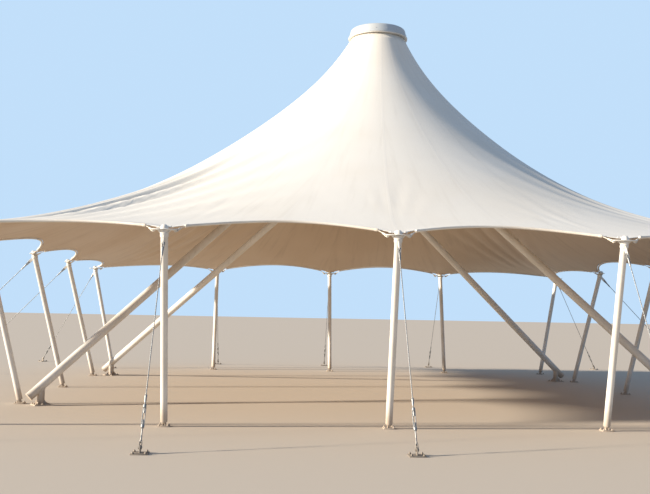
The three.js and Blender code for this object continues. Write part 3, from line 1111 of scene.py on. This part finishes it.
# %% Rim
BAYS = 4
SCALLOP_SAG = 0.50
RING_X = 0.52
RING_RADIUS = 0.62
RING_HEIGHT = 8.18
PROFILE_STRAIGHT = 0.41
PROFILE_POWER = 1.67
PROFILE_NECK = 0.1
NECK_POWER = 12
CORNER_POWER = 2.6
SHIFT_REACH = 6.0
SHIFT_POWER = 1.2
COLUMNS_A_BAY = 36
COLUMNS = 4 * BAYS * COLUMNS_A_BAY
HEADS = (-HEAD_HALF, -BAY, 0, BAY, HEAD_HALF)


def drop_left(share, stretch):
    """1 at the ring and 0 at the square. Longer rays, towards the corners, run out flatter."""
    return max(0.0, 1 - share * stretch + (stretch - 1) * share**CORNER_POWER)


def climb(left):
    """The share of the height that is reached there: a straight slope, a hollow and a steep neck."""
    hollow = (1 - PROFILE_STRAIGHT - PROFILE_NECK) * left**PROFILE_POWER
    return PROFILE_STRAIGHT * left + hollow + PROFILE_NECK * left**NECK_POWER


def canopy_point(place, part):
    """The cone's point on the ray to a rim place, a part of the way out from the ring."""
    spread = place.xy.length
    square = HEAD_HALF * spread / max(abs(place.x), abs(place.y))
    out = (spread - RING_RADIUS) * part
    stretch = (square - RING_RADIUS) / (HEAD_HALF - RING_RADIUS)
    left = drop_left(out / (square - RING_RADIUS), stretch)
    reach = (RING_RADIUS + out) / spread
    aside = RING_X * max(0.0, 1 - out / SHIFT_REACH) ** SHIFT_POWER
    height = HEAD_HEIGHT + (RING_HEIGHT - HEAD_HEIGHT) * climb(left)
    return Vector((place.x * reach + aside, place.y * reach, height))


def rim_place(step):
    """The rim point for a column of the cloth. A step may lie between two columns."""
    side, along = divmod(step % COLUMNS, BAYS * COLUMNS_A_BAY)
    bay, part = divmod(along, COLUMNS_A_BAY)
    side, bay, share = int(side), int(bay), part / COLUMNS_A_BAY
    x = HEADS[bay] + (HEADS[bay + 1] - HEADS[bay]) * share
    point = Vector((x, -HEAD_HALF + SCALLOP_SAG * 4 * share * (1 - share), 0))
    return canopy_point(Matrix.Rotation(side * pi / 2, 3, "Z") @ point, 1)


def inward(step):
    """The level direction into the canopy, stretched so that a shifted rim stays parallel."""
    here = rim_place(step).xy
    before = (here - rim_place(step - 1).xy).normalized()
    after = (rim_place(step + 1).xy - here).normalized()
    normals = [Vector((-way.y, way.x)) for way in (before, after)]
    bisector = (normals[0] + normals[1]).normalized()
    return (bisector / bisector.dot(normals[0])).to_3d()


def rim_edge(step, inset):
    """The rim point moved into the canopy."""
    return rim_place(step) + inward(step) * inset


print("rim length", round(sum((rim_place(k) - rim_place(k + 1)).length for k in range(COLUMNS)), 2))

# %% [markdown]
# Tension leaves folds. The longest run from the four corners towards the peak, where the cloth is
# pulled hardest along the diagonal and has too little pull across it. They are deepest at the front
# left corner. Shorter ones start at each mast head. All are modelled in the mesh, because they catch
# the light from far away.

# %% Folds
PEAK = Vector((RING_X, 0))
CORNER_FOLDS = (0.13, 0.03, 0.03, 0.055)
CORNER_FOLDS_MEET = 2.4
CORNER_FAN = {"spread": 0.24, "start": 3.4, "end": 10.5, "spacing": 0.068}
HEAD_FOLDS = 0.010
HEAD_FAN = {"spread": 0.6, "start": 0.25, "end": 2.6, "spacing": 0.2}
RAGGED_ENDS = 0.9
WANDER = 0.3
RIDGE_POWER = 1.5


def smooth(low, high, value):
    """0 below low, 1 above high, and a soft step between."""
    share = min(1.0, max(0.0, (value - low) / (high - low)))
    return share * share * (3 - 2 * share)


def fan(point, tip, seed, spread, start, end, spacing):
    """Folds from tip towards the peak, between two distances from tip, each spacing radians wide."""
    away = point.xy - tip
    reach = away.length
    if not start < reach < end:
        return 0.0
    swing = (PEAK - tip).angle_signed(away, 0.0)
    ragged = RAGGED_ENDS * noise.noise(Vector((swing * 11, seed, 0.5)))
    full = start + 0.3 * (end - start)
    grown = smooth(start, full, reach + ragged) * (1 - smooth(full, end, reach + ragged))
    wander = WANDER * noise.noise(Vector((reach * 0.35, swing * 4, seed)))
    strength = 0.75 + 0.7 * noise.noise(Vector((swing * 9 + seed, reach * 0.2, seed)))
    ridge = (0.5 + 0.5 * cos(tau * (swing / spacing + wander + seed))) ** RIDGE_POWER
    return grown * exp(-((swing / spread) ** 2)) * strength * (ridge - 0.7)


def fold_height(point):
    """How far the folds lift the cloth at a point, in metres."""
    lift = 0.0
    for turn, deep in enumerate(CORNER_FOLDS):
        quarter = Matrix.Rotation(turn * pi / 2, 2)
        corner = quarter @ Vector((-HEAD_HALF, -HEAD_HALF))
        tip = corner + corner.normalized() * CORNER_FOLDS_MEET
        lift += deep * fan(point, tip, 0.37 * turn, **CORNER_FAN)
        for x in (-BAY, 0, BAY):
            head = quarter @ Vector((x, -HEAD_HALF))
            lift += HEAD_FOLDS * fan(point, head, 0.21 * turn + x, **HEAD_FAN)
    return lift


print("fold height on the diagonal", round(fold_height(Vector((-4.0, -4.0, 3.5))), 4))

# %% [markdown]
# ## Membrane
# The membrane is one sheet. A flat grid is made with an operator, with a column for every rim point
# and a row for every step up the slope, and each vertex is then moved to its place on the cone. The
# rows crowd at the rim, where the doubled hem makes a small step. Where the last column meets the
# first, the doubles are merged. Solidify gives the cloth its few millimetres and puts the second
# material on the underside.

# %% Rows of the cloth
HEM_ROWS = (0.0, 0.03, 0.06, HEM - 0.003, HEM + 0.003, 0.16)
HEM_STEP = 0.0025
SLOPE_ROWS = 44
ROW_CROWDING = 1.12
CLOTH_INSET = 0.026
CLOTH_THICK = 0.004
FOLDS_FADE = (0.1, 0.6)
HEAD_PRESS = 0.012
PRESS_ALONG = 0.22
PRESS_INWARD = 0.2


def row_shares(edge):
    """How far out from the ring each row lies, as a share of the way to the edge."""
    top = canopy_point(edge, 0)
    length = (edge.xy - top.xy).length
    hem = [1 - distance / length for distance in reversed(HEM_ROWS)]
    slope = [hem[0] * (row / SLOPE_ROWS) ** ROW_CROWDING for row in range(SLOPE_ROWS)]
    return slope + hem


def cloth_column(step):
    """The places of one column, from the ring to the rim, and how far each is from the rim."""
    edge = rim_edge(step, CLOTH_INSET)
    nearest = min(step % COLUMNS_A_BAY, COLUMNS_A_BAY - step % COLUMNS_A_BAY)
    at_head = exp(-((nearest * BAY / COLUMNS_A_BAY / PRESS_ALONG) ** 2))
    column = []
    for share in row_shares(edge):
        point = canopy_point(edge, share)
        to_rim = (point - edge).length
        point.z += fold_height(point) * smooth(*FOLDS_FADE, to_rim)
        point.z += HEM_STEP if to_rim < HEM else 0.0
        point.z -= HEAD_PRESS * at_head * exp(-((to_rim / PRESS_INWARD) ** 2))
        column.append((point, to_rim))
    return column


cloth_columns = [cloth_column(step) for step in range(COLUMNS)]
cloth_columns.append(cloth_columns[0])
ROWS = len(cloth_columns[0]) - 1
print("columns", COLUMNS, "rows", ROWS)


# %% Strips
STRIPS = 32
COLUMNS_A_STRIP = COLUMNS // STRIPS
STRIP_SPACING = 4.0


def strip_width(number, row):
    """The width of a strip at that row."""
    first = number * COLUMNS_A_STRIP
    return (cloth_columns[first][row][0] - cloth_columns[first + COLUMNS_A_STRIP][row][0]).length


def mark_cloth(shape, numbers):
    """Fills the two UV maps from each vertex's column and row."""
    cloth = shape.loops.layers.uv.new("cloth")
    margins = shape.loops.layers.uv.new("margins")
    for face in shape.faces:
        strip = min(numbers[loop.vert][0] for loop in face.loops) // COLUMNS_A_STRIP
        for loop in face.loops:
            step, row = numbers[loop.vert]
            share = step / COLUMNS_A_STRIP - strip
            width = strip_width(strip, row)
            to_rim = cloth_columns[step][row][1]
            loop[cloth].uv = ((share - 0.5) * width + STRIP_SPACING * strip, to_rim)
            loop[margins].uv = ((0.5 - abs(share - 0.5)) * width, to_rim)


print("strip widths at the rim and the ring", [round(strip_width(0, row), 2) for row in (ROWS, 0)])


# %% The sheet
def make_sheet():
    """The cloth's mesh and its area."""
    shape = bmesh.new()
    bmesh.ops.create_grid(shape, x_segments=COLUMNS, y_segments=ROWS, size=0.5)
    numbers = {}
    for vert in shape.verts:
        numbers[vert] = (round((vert.co.x + 0.5) * COLUMNS), round((vert.co.y + 0.5) * ROWS))
    mark_cloth(shape, numbers)
    for vert, (step, row) in numbers.items():
        vert.co = cloth_columns[step][row][0]
    bmesh.ops.remove_doubles(shape, verts=shape.verts, dist=1e-5)
    for face in shape.faces:
        face.smooth = True
    if sum(face.normal.z for face in shape.faces) < 0:
        bmesh.ops.reverse_faces(shape, faces=shape.faces)
    area = sum(face.calc_area() for face in shape.faces)
    mesh = bpy.data.meshes.new("membrane")
    shape.to_mesh(mesh)
    shape.free()
    return mesh, area


sheet_mesh, sheet_area = make_sheet()
print("membrane faces", len(sheet_mesh.polygons), "area", round(sheet_area, 1))

# %% [markdown]
# The sheet becomes the membrane in place of the four CAD membrane parts, and Solidify gives it the
# thickness of the cloth and puts the second material on the inner shell.

# %% Finish the membrane
membrane = finish_piece(
    "membrane",
    sheet_mesh,
    (CLOTH_TOP, CLOTH_UNDER_PAINTED_SHADE),
    [f"membrane_{side}" for side in SIDES],
    crease=3.0,
)
thicken = membrane.modifiers.new("thickness", "SOLIDIFY")
thicken.thickness = CLOTH_THICK
thicken.offset = -1
thicken.use_even_offset = False
# The inner shell takes the second material, the underside's painted shade.
thicken.material_offset = 1

# %% [markdown]
# ## Cuffs and edge cables
# Along the rim the cloth is turned back into a pocket, the cuff, with a steel cable inside. The
# cable's pull is what gives the scallop its curve. Each bay has its own cuff, which stops short of
# the mast heads, and the bare cable runs on from it into a pressed socket and a fork on the head
# plate. A round section is carried along the rim for the cuff, a lobed one for the bare ends.

# %% Cuffs
CUFF_STOP = 0.25
PATH_SPACING = 0.1
CUFF_END_RADIUS = CUFF_RADIUS + 0.0025
CUFF_END_OUT = 0.012
CUFF_END_SHARE = 0.6


def bay_path(side, bay):
    """Rim points of one bay, spaced evenly from head to head."""
    first = (side * BAYS + bay) * COLUMNS_A_BAY
    count = round((HEADS[bay + 1] - HEADS[bay]) / PATH_SPACING)
    return [rim_place(first + COLUMNS_A_BAY * step / count) for step in range(count + 1)]


def covered_path(path):
    """The part of a bay's path that the cuff covers."""
    return [point for point in path if min((point - path[k]).length for k in (0, -1)) > CUFF_STOP]


def cuff_parts(covered):
    """The cuff, with a thicker doubled end at both mast heads."""
    parts = [(sweep(circle_section(CUFF_RADIUS, 14), stations_along(covered)), MAIN, HERE)]
    for place, ahead in ((covered[0], covered[1]), (covered[-1], covered[-2])):
        back = place + (place - ahead).normalized() * CUFF_END_OUT
        end = rod(back, ahead.lerp(place, CUFF_END_SHARE), CUFF_END_RADIUS, 20, bevel=0.003)
        parts.append((end, MAIN, HERE))
    return parts


print("covered points in the first bay", len(covered_path(bay_path(0, 0))))

# %% Cable ends
RIM_FORK = {"radius": 0.018, "jaw": 0.045, "gap": 0.016}
RIM_PIN_REACH = 0.168
RIM_PIN_HEIGHT = HEAD_PLATE_TOP - HEAD_PLATE_THICK - 0.006
RIM_SOCKET = 0.055
RIM_SOCKET_START = 0.05
RIM_ROPE_START = 0.08
RIM_ROPE_SHORT = 0.06


def cable_end(head, cuff_end, along, inner):
    """The bare cable from its fork on the head's ear to the end of the cuff."""
    pin = head + along * RIM_PIN_REACH
    pin.z = RIM_PIN_HEIGHT
    pin += inner * OFF_CENTRE
    up = along_line(pin, cuff_end)
    parts = moved(fork(**RIM_FORK), up @ about_z(pi / 2))
    parts.append((socket(RIM_SOCKET), BRIGHT, up @ shift(0, 0, RIM_SOCKET_START)))
    bare = rope((cuff_end - pin).length - RIM_ROPE_SHORT)
    parts.append((bare, BRIGHT, up @ shift(0, 0, RIM_ROPE_START)))
    return parts


def rim_parts(side):
    """The four cuffs of a side, and the bare cable at both ends of each."""
    parts = []
    quarter = Matrix.Rotation(side * pi / 2, 3, "Z")
    along, inner = quarter @ Vector((1, 0, 0)), quarter @ Vector((0, 1, 0))
    for bay in range(BAYS):
        path = bay_path(side, bay)
        covered = covered_path(path)
        parts += cuff_parts(covered)
        parts += cable_end(path[0], covered[0], along, inner)
        parts += cable_end(path[-1], covered[-1], -along, inner)
    return parts


for number, side in enumerate(SIDES):
    rim = collect(rim_parts(number))
    finish_piece(f"rim_{side}", rim, (CUFF_CLOTH, BRIGHT_STEEL), [f"edge_cable_{side}"])
print("rim faces a side", len(rim.polygons))

# %% [markdown]
# ## Struts, pedestals and king post
# Four large tubes rise from pedestals inside the left and right sides and meet the king post under
# the peak. Each tube is coned at its upper end and bolted flange to flange, which is how such a long
# member is made and lifted in. Tube, cone and flange are one outline, spun. The foot is cut square
# and closed by a plate. A little above it, the tube lies in the hollowed top of a short post and is
# welded to it. The post starts as a spun outline, and the vertices of its top are then moved onto
# the tube's underside.

# %% Strut lines
POST_FOOT_X = -0.16
POST_FOOT_HEIGHT = 5.02
SPOKE_DEPTH = 0.07
FRONT_STRUT_TOP = 6.66
BACK_STRUT_TOP = 5.43
STRUT_FOOT = Vector((6.217, 3.802, 0.149))
STRUT_RADIUS = 0.08
STUB_RADIUS = 0.05
FLANGE_RADIUS = 0.092
FLANGE_THICK = 0.016
FLANGE_BOLTS = 8
FLANGE_BOLT_RADIUS = FLANGE_RADIUS - 0.018
HUB_STUB = 0.32
STRUT_SIDES = {
    "front_left": (-1, -1),
    "front_right": (1, -1),
    "back_right": (1, 1),
    "back_left": (-1, 1),
}


def post_axis(height):
    """The king post's axis at that height."""
    share = (height - POST_FOOT_HEIGHT) / (RING_HEIGHT - SPOKE_DEPTH - POST_FOOT_HEIGHT)
    return Vector((POST_FOOT_X + (RING_X - POST_FOOT_X) * share, 0, height))


def strut_line(side_x, side_y):
    """Foot, joint on the king post's axis and direction of the strut on those sides."""
    foot = Vector((side_x * STRUT_FOOT.x, side_y * STRUT_FOOT.y, STRUT_FOOT.z))
    top = post_axis(FRONT_STRUT_TOP if side_y < 0 else BACK_STRUT_TOP)
    return foot, top, (top - foot).normalized()


foot, joint, _ = strut_line(1, -1)
print("front strut", round((joint - foot).length, 2))

# %% Struts
FOOT_CAP = [
    (0, 0),
    (STRUT_RADIUS + 0.003, 0),
    (STRUT_RADIUS + 0.004, 0.001),
    (STRUT_RADIUS + 0.004, 0.011),
    (STRUT_RADIUS + 0.003, 0.012),
    (STRUT_RADIUS, 0.016),
]
HUB_END = [
    (0, 0),
    (FLANGE_RADIUS, 0),
    (FLANGE_RADIUS, FLANGE_THICK),
    (STUB_RADIUS - 0.002, FLANGE_THICK),
    (STUB_RADIUS, 0.03),
    (STRUT_RADIUS - 0.002, 0.19),
    (STRUT_RADIUS, 0.2),
]
BEAD_POINTS = ((-0.001, -0.012), (0.003, 0), (-0.001, 0.012), (-0.001, -0.012))
WELD_BEAD = [(STRUT_RADIUS + out, up) for out, up in BEAD_POINTS]


def strut_parts(side_x, side_y):
    """A strut with its foot cap, weld beads and flange bolts."""
    foot, joint, along = strut_line(side_x, side_y)
    high = joint - along * (HUB_STUB + SEAT_GAP)
    length = (high - foot).length
    outline = FOOT_CAP + [(radius, length - below) for radius, below in reversed(HUB_END)]
    line = along_line(foot, joint)
    parts = [(turned(outline, 40), MAIN, line)]
    for share in (1 / 3, 2 / 3):
        parts.append((turned(WELD_BEAD, 40), MAIN, line @ shift(0, 0, length * share)))
    bolts = stamp(CLAMP_BOLT, round_spots(FLANGE_BOLTS, FLANGE_BOLT_RADIUS, FLANGE_THICK))
    return parts + moved(bolts, along_line(high, foot))


for place, sides in STRUT_SIDES.items():
    strut_mesh = collect(strut_parts(*sides))
    finish_piece(f"long_strut_{place}", strut_mesh, STEEL, [f"strut_{place}"])
print("strut faces", len(strut_mesh.polygons))


# %% Hollowed post
SADDLE_DISTANCE = 0.30
PEDESTAL_RADIUS = 0.065
SADDLE_BEAD = 0.005


def saddle_height(x, y, seat_height, along):
    """The underside of the strut over a point near the post, where the strut rises towards +X."""
    level = along.xy.length
    return seat_height + x * along.z / level - (STRUT_RADIUS**2 - y**2) ** 0.5 / level


def saddle_post(seat_height, along):
    """A post whose top is hollowed to the strut, and the weld bead round that hollow."""
    top_rings = [(PEDESTAL_RADIUS * k / 4, 1) for k in (4, 3, 2, 1, 0)]
    post = turned([(0, 0.01), (PEDESTAL_RADIUS, 0.01)] + top_rings, 48)
    for vert in post.verts:
        if vert.co.z > 0.5:
            vert.co.z = saddle_height(vert.co.x, vert.co.y, seat_height, along) - SEAT_GAP
    ring = circle_section(PEDESTAL_RADIUS + 0.003, 48)
    path = []
    for x, y in ring + ring[:1]:
        path.append(Vector((x, y, saddle_height(x, y, seat_height, along) - WELD_DEPTH)))
    return post, sweep(circle_section(SADDLE_BEAD, 8), stations_along(path))


print("seat over the ground", round((foot + strut_line(1, -1)[2] * SADDLE_DISTANCE).z, 3))

# %% Pedestals
PEDESTAL_PLATE = 0.30
PEDESTAL_PLATE_THICK = 0.02
BOLT_MARGIN = 0.035
GUSSET_INNER = PEDESTAL_RADIUS - 0.005
GUSSET_OUTER = PEDESTAL_RADIUS + 0.063
GUSSET = [(GUSSET_INNER, 0), (GUSSET_OUTER, 0), (GUSSET_OUTER, 0.012), (GUSSET_INNER, 0.1)]
GUSSET_THICK = 0.012


def pedestal_parts(side_x, side_y):
    """The post with its plate. Gussets stand on the diagonals and eight bolts go round the edge."""
    foot, _, along = strut_line(side_x, side_y)
    seat = foot + along * SADDLE_DISTANCE
    post, bead = saddle_post(seat.z, along)
    plate = block(PEDESTAL_PLATE, PEDESTAL_PLATE, PEDESTAL_PLATE_THICK, 0.004)
    parts = [(part, MAIN, HERE) for part in (plate, post, bead)]
    low = shift(0, 0, PEDESTAL_PLATE_THICK - WELD_DEPTH / 2)
    for k in range(4):
        stand = about_z(pi / 4 + k * pi / 2) @ low @ STAND_UP
        parts.append((cut_plate(GUSSET, GUSSET_THICK), MAIN, stand))
    edge = PEDESTAL_PLATE / 2 - BOLT_MARGIN
    spots = [(x, y) for x in (-edge, 0, edge) for y in (-edge, 0, edge) if x or y]
    parts += stamp(ANCHOR_BOLT, [shift(x, y, PEDESTAL_PLATE_THICK) for x, y in spots])
    return moved(parts, shift(seat.x, seat.y, 0) @ about_z(atan2(along.y, along.x)))


for place, sides in STRUT_SIDES.items():
    pedestal_mesh = collect(pedestal_parts(*sides))
    finish_piece(f"base_{place}", pedestal_mesh, STEEL, [f"pedestal_{place}"])
print("pedestal faces", len(pedestal_mesh.polygons))

# %% [markdown]
# The king post hangs between the struts and leans towards the ring, whose middle is a little to the
# right of the plan's middle. Its four stubs take the struts' flanges, and a square head plate is
# bolted to the ring's collar. The bolts there point down, so their spots are turned over.

# %% King post
KING_RADIUS = 0.085
KING_FOOT = [(0, 0), (0.05, 0.004), (0.075, 0.02), (KING_RADIUS, 0.05)]
BAND_POINTS = ((-0.001, -0.03), (0.007, -0.026), (0.007, 0.026), (-0.001, 0.03), (-0.001, -0.03))
KING_BAND = [(KING_RADIUS + out, up) for out, up in BAND_POINTS]
LOW_BAND = 0.12
HIGH_BAND = 0.16
KING_PLATE = 0.26
KING_PLATE_THICK = 0.04
KING_BOLT_REACH = 0.1
NECK = HUB_STUB - FLANGE_THICK
STUB = [
    (0, 0),
    (STUB_RADIUS, 0),
    (STUB_RADIUS, NECK),
    (FLANGE_RADIUS, NECK),
    (FLANGE_RADIUS, HUB_STUB),
]


def king_post_parts():
    """The post with its bands, four stubs, head plate and bolts."""
    foot = post_axis(POST_FOOT_HEIGHT)
    head = post_axis(RING_HEIGHT - SPOKE_DEPTH - KING_PLATE_THICK / 2)
    length = (head - foot).length
    line = along_line(foot, head)
    parts = [(turned(KING_FOOT + [(KING_RADIUS, length), (0, length)]), MAIN, line)]
    for height in (LOW_BAND, length - HIGH_BAND):
        parts.append((turned(KING_BAND), MAIN, line @ shift(0, 0, height)))
    for sides in STRUT_SIDES.values():
        strut_foot, joint, _ = strut_line(*sides)
        parts.append((turned(STUB + [(0, HUB_STUB)]), MAIN, along_line(joint, strut_foot)))
    seat = shift(RING_X, 0, RING_HEIGHT - SPOKE_DEPTH - KING_PLATE_THICK)
    parts.append((block(KING_PLATE, KING_PLATE, KING_PLATE_THICK, 0.004), MAIN, seat))
    under = [spot @ Matrix.Rotation(pi, 4, "X") for spot in square_spots(KING_BOLT_REACH, 0)]
    return parts + moved(stamp(ANCHOR_BOLT, under), seat)


post_mesh = collect(king_post_parts())
finish_piece("leaning_king_post", post_mesh, STEEL, ["king_post"])
print("king post faces", len(post_mesh.polygons))

# %% [markdown]
# ## Peak
# The ring is a flat flange on a short web, stiffened by four spokes to a collar. The top of the
# membrane is clamped under the flange by a row of bolts. A shallow lid, with a rolled lip and a
# band that tapers upwards, keeps the rain out. Ring and lid are outlines spun about the peak's axis.

# %% Peak ring
RIM_OF_RING = 0.69
RING_PLATE = 0.016
RING_OUTLINE = [
    (0.54, -0.09),
    (0.58, -0.09),
    (0.58, 0),
    (RIM_OF_RING, 0),
    (RIM_OF_RING, RING_PLATE),
    (0.54, RING_PLATE),
    (0.54, -0.09),
]
COLLAR_OUTLINE = [(0, -0.0695), (0.13, -0.0695), (0.13, 0.004), (0, 0.004)]
CLAMP_OUTLINE = [(0.585, -0.024), (0.6, -0.03), (0.6, -0.018), (0.585, -0.012), (0.585, -0.024)]
SPOKE_LENGTH = 1.1
SPOKE_WIDTH = 0.05
SPOKE_HEIGHT = 0.068
SPOKE_STAGGER = 0.0005
RING_BOLTS = 24
RING_BOLT_RADIUS = 0.56


def peak_ring_parts():
    """The ring's parts. Two bars cross as its spokes, a little staggered, so no faces coincide."""
    parts = [(soften(turned(RING_OUTLINE, 72), 0.003, 1, 1.0), MAIN, HERE)]
    for turn in (0, pi / 2):
        spoke = block(SPOKE_LENGTH, SPOKE_WIDTH, SPOKE_HEIGHT, 0.004)
        low = shift(0, 0, -SPOKE_DEPTH - SPOKE_STAGGER * turn)
        parts.append((spoke, MAIN, about_z(turn) @ low))
    parts.append((soften(turned(COLLAR_OUTLINE, 40), 0.004, 2, 1.0), MAIN, HERE))
    parts.append((turned(CLAMP_OUTLINE, 72), MAIN, HERE))
    parts += stamp(CLAMP_BOLT, round_spots(RING_BOLTS, RING_BOLT_RADIUS, RING_PLATE, first=0.5))
    return moved(parts, shift(RING_X, 0, RING_HEIGHT + SEAT_GAP))


ring_mesh = collect(peak_ring_parts())
finish_piece("clamp_ring", ring_mesh, STEEL, ["peak_ring"])
print("ring faces", len(ring_mesh.polygons))


# %% Lid
CAP_BAND = 0.185
LIP_OUTLINE = [
    (0.684, 0),
    (RIM_OF_RING, 0.006),
    (RIM_OF_RING, 0.016),
    (0.684, 0.02),
    (0.674, 0.022),
]
SHOULDER = [(0.638, CAP_BAND - 0.012), (0.632, CAP_BAND)]
DOME_RADIUS = 0.622
DOME_START = CAP_BAND + 0.006
DOME_RISE = 0.064
DOME_STEPS = 8
SHEET_METAL = 0.006
LID_BOLTS = 16
LID_BOLT_RADIUS = 0.659
LID_BOLT_HEIGHT = 0.085
BAND_SLOPE = 0.22
LID_BOLT_SCALE = 0.6


def lid_outline():
    """The lid's sheet metal: up the outside to the middle, and back down the inside."""
    turns = [pi / 2 * k / DOME_STEPS for k in range(DOME_STEPS)]
    dome = [(DOME_RADIUS * cos(turn), DOME_START + DOME_RISE * sin(turn)) for turn in turns]
    outer = LIP_OUTLINE + SHOULDER + dome + [(0, DOME_START + DOME_RISE)]
    upper = outer[len(LIP_OUTLINE) - 1 :]
    inner = [(max(radius - SHEET_METAL, 0), height - 0.005) for radius, height in reversed(upper)]
    return outer + inner + [(0.676, 0), LIP_OUTLINE[0]]


def lid_parts():
    """The lid and its bolts, which are small and stand out of the tapered band."""
    lean_out = Matrix.Rotation(pi / 2 - BAND_SLOPE, 4, "Y") @ Matrix.Scale(LID_BOLT_SCALE, 4)
    spots = round_spots(LID_BOLTS, LID_BOLT_RADIUS, LID_BOLT_HEIGHT, first=0.5)
    bolts = stamp(CLAMP_BOLT, [spot @ lean_out for spot in spots])
    parts = [(turned(lid_outline(), 96), MAIN, HERE)] + bolts
    return moved(parts, shift(RING_X, 0, RING_HEIGHT + RING_PLATE + 2 * SEAT_GAP))


lid_mesh = collect(lid_parts())
finish_piece("lid", lid_mesh, (CAP_PAINT, BRIGHT_STEEL), ["peak_cap"])
print("lid faces", len(lid_mesh.polygons))

# %% [markdown]
# ## Clamp bars
# Over every mast head a short bar presses the membrane's tip onto the head plate. It lies at the
# cloth's own slope, and its bolts go through both. At the corners the tip is narrow, so the bar is
# a small wedge-shaped plate.

# %% Clamp bars
CLAMP_BAR_THICK = 0.008
CLAMP_LIFT = 0.006
BAR_OUTLINE = both_sides([(0.15, 0.0), (0.14, 0.03), (0.09, 0.055)])
BAR_BOLTS = [(-0.11, 0.018), (-0.04, 0.03), (0.04, 0.03), (0.11, 0.018)]
WEDGE_OUTLINE = both_sides([(0.03, -0.02), (0.055, 0.14), (0.04, 0.16)])
WEDGE_BOLTS = [(0, 0.02), (-0.02, 0.11), (0.02, 0.11)]


def clamp_place(step):
    """The matrix that lays a bar on the cloth's tip in that column, with Y up the slope."""
    outer, inner = (cloth_columns[step][row][0] for row in (-1, -4))
    slope = (inner - outer).normalized()
    level = slope.cross(Vector((0, 0, 1))).normalized()
    normal = level.cross(slope)
    lie = Matrix((level, slope, normal)).transposed().to_4x4()
    lie.translation = outer + normal * CLAMP_LIFT
    return lie


clamps = []
for head in range(4 * BAYS):
    at_corner = head % BAYS == 0
    outline, spots = (WEDGE_OUTLINE, WEDGE_BOLTS) if at_corner else (BAR_OUTLINE, BAR_BOLTS)
    bar = [(cut_plate(outline, CLAMP_BAR_THICK), MAIN, HERE)]
    bar += stamp(CLAMP_BOLT, [shift(x, y, CLAMP_BAR_THICK / 2) for x, y in spots])
    clamps += moved(bar, clamp_place(head * COLUMNS_A_BAY))
clamp_mesh = collect(clamps)
finish_piece("clamp_bars", clamp_mesh, STEEL, [])
print("clamp faces", len(clamp_mesh.polygons))
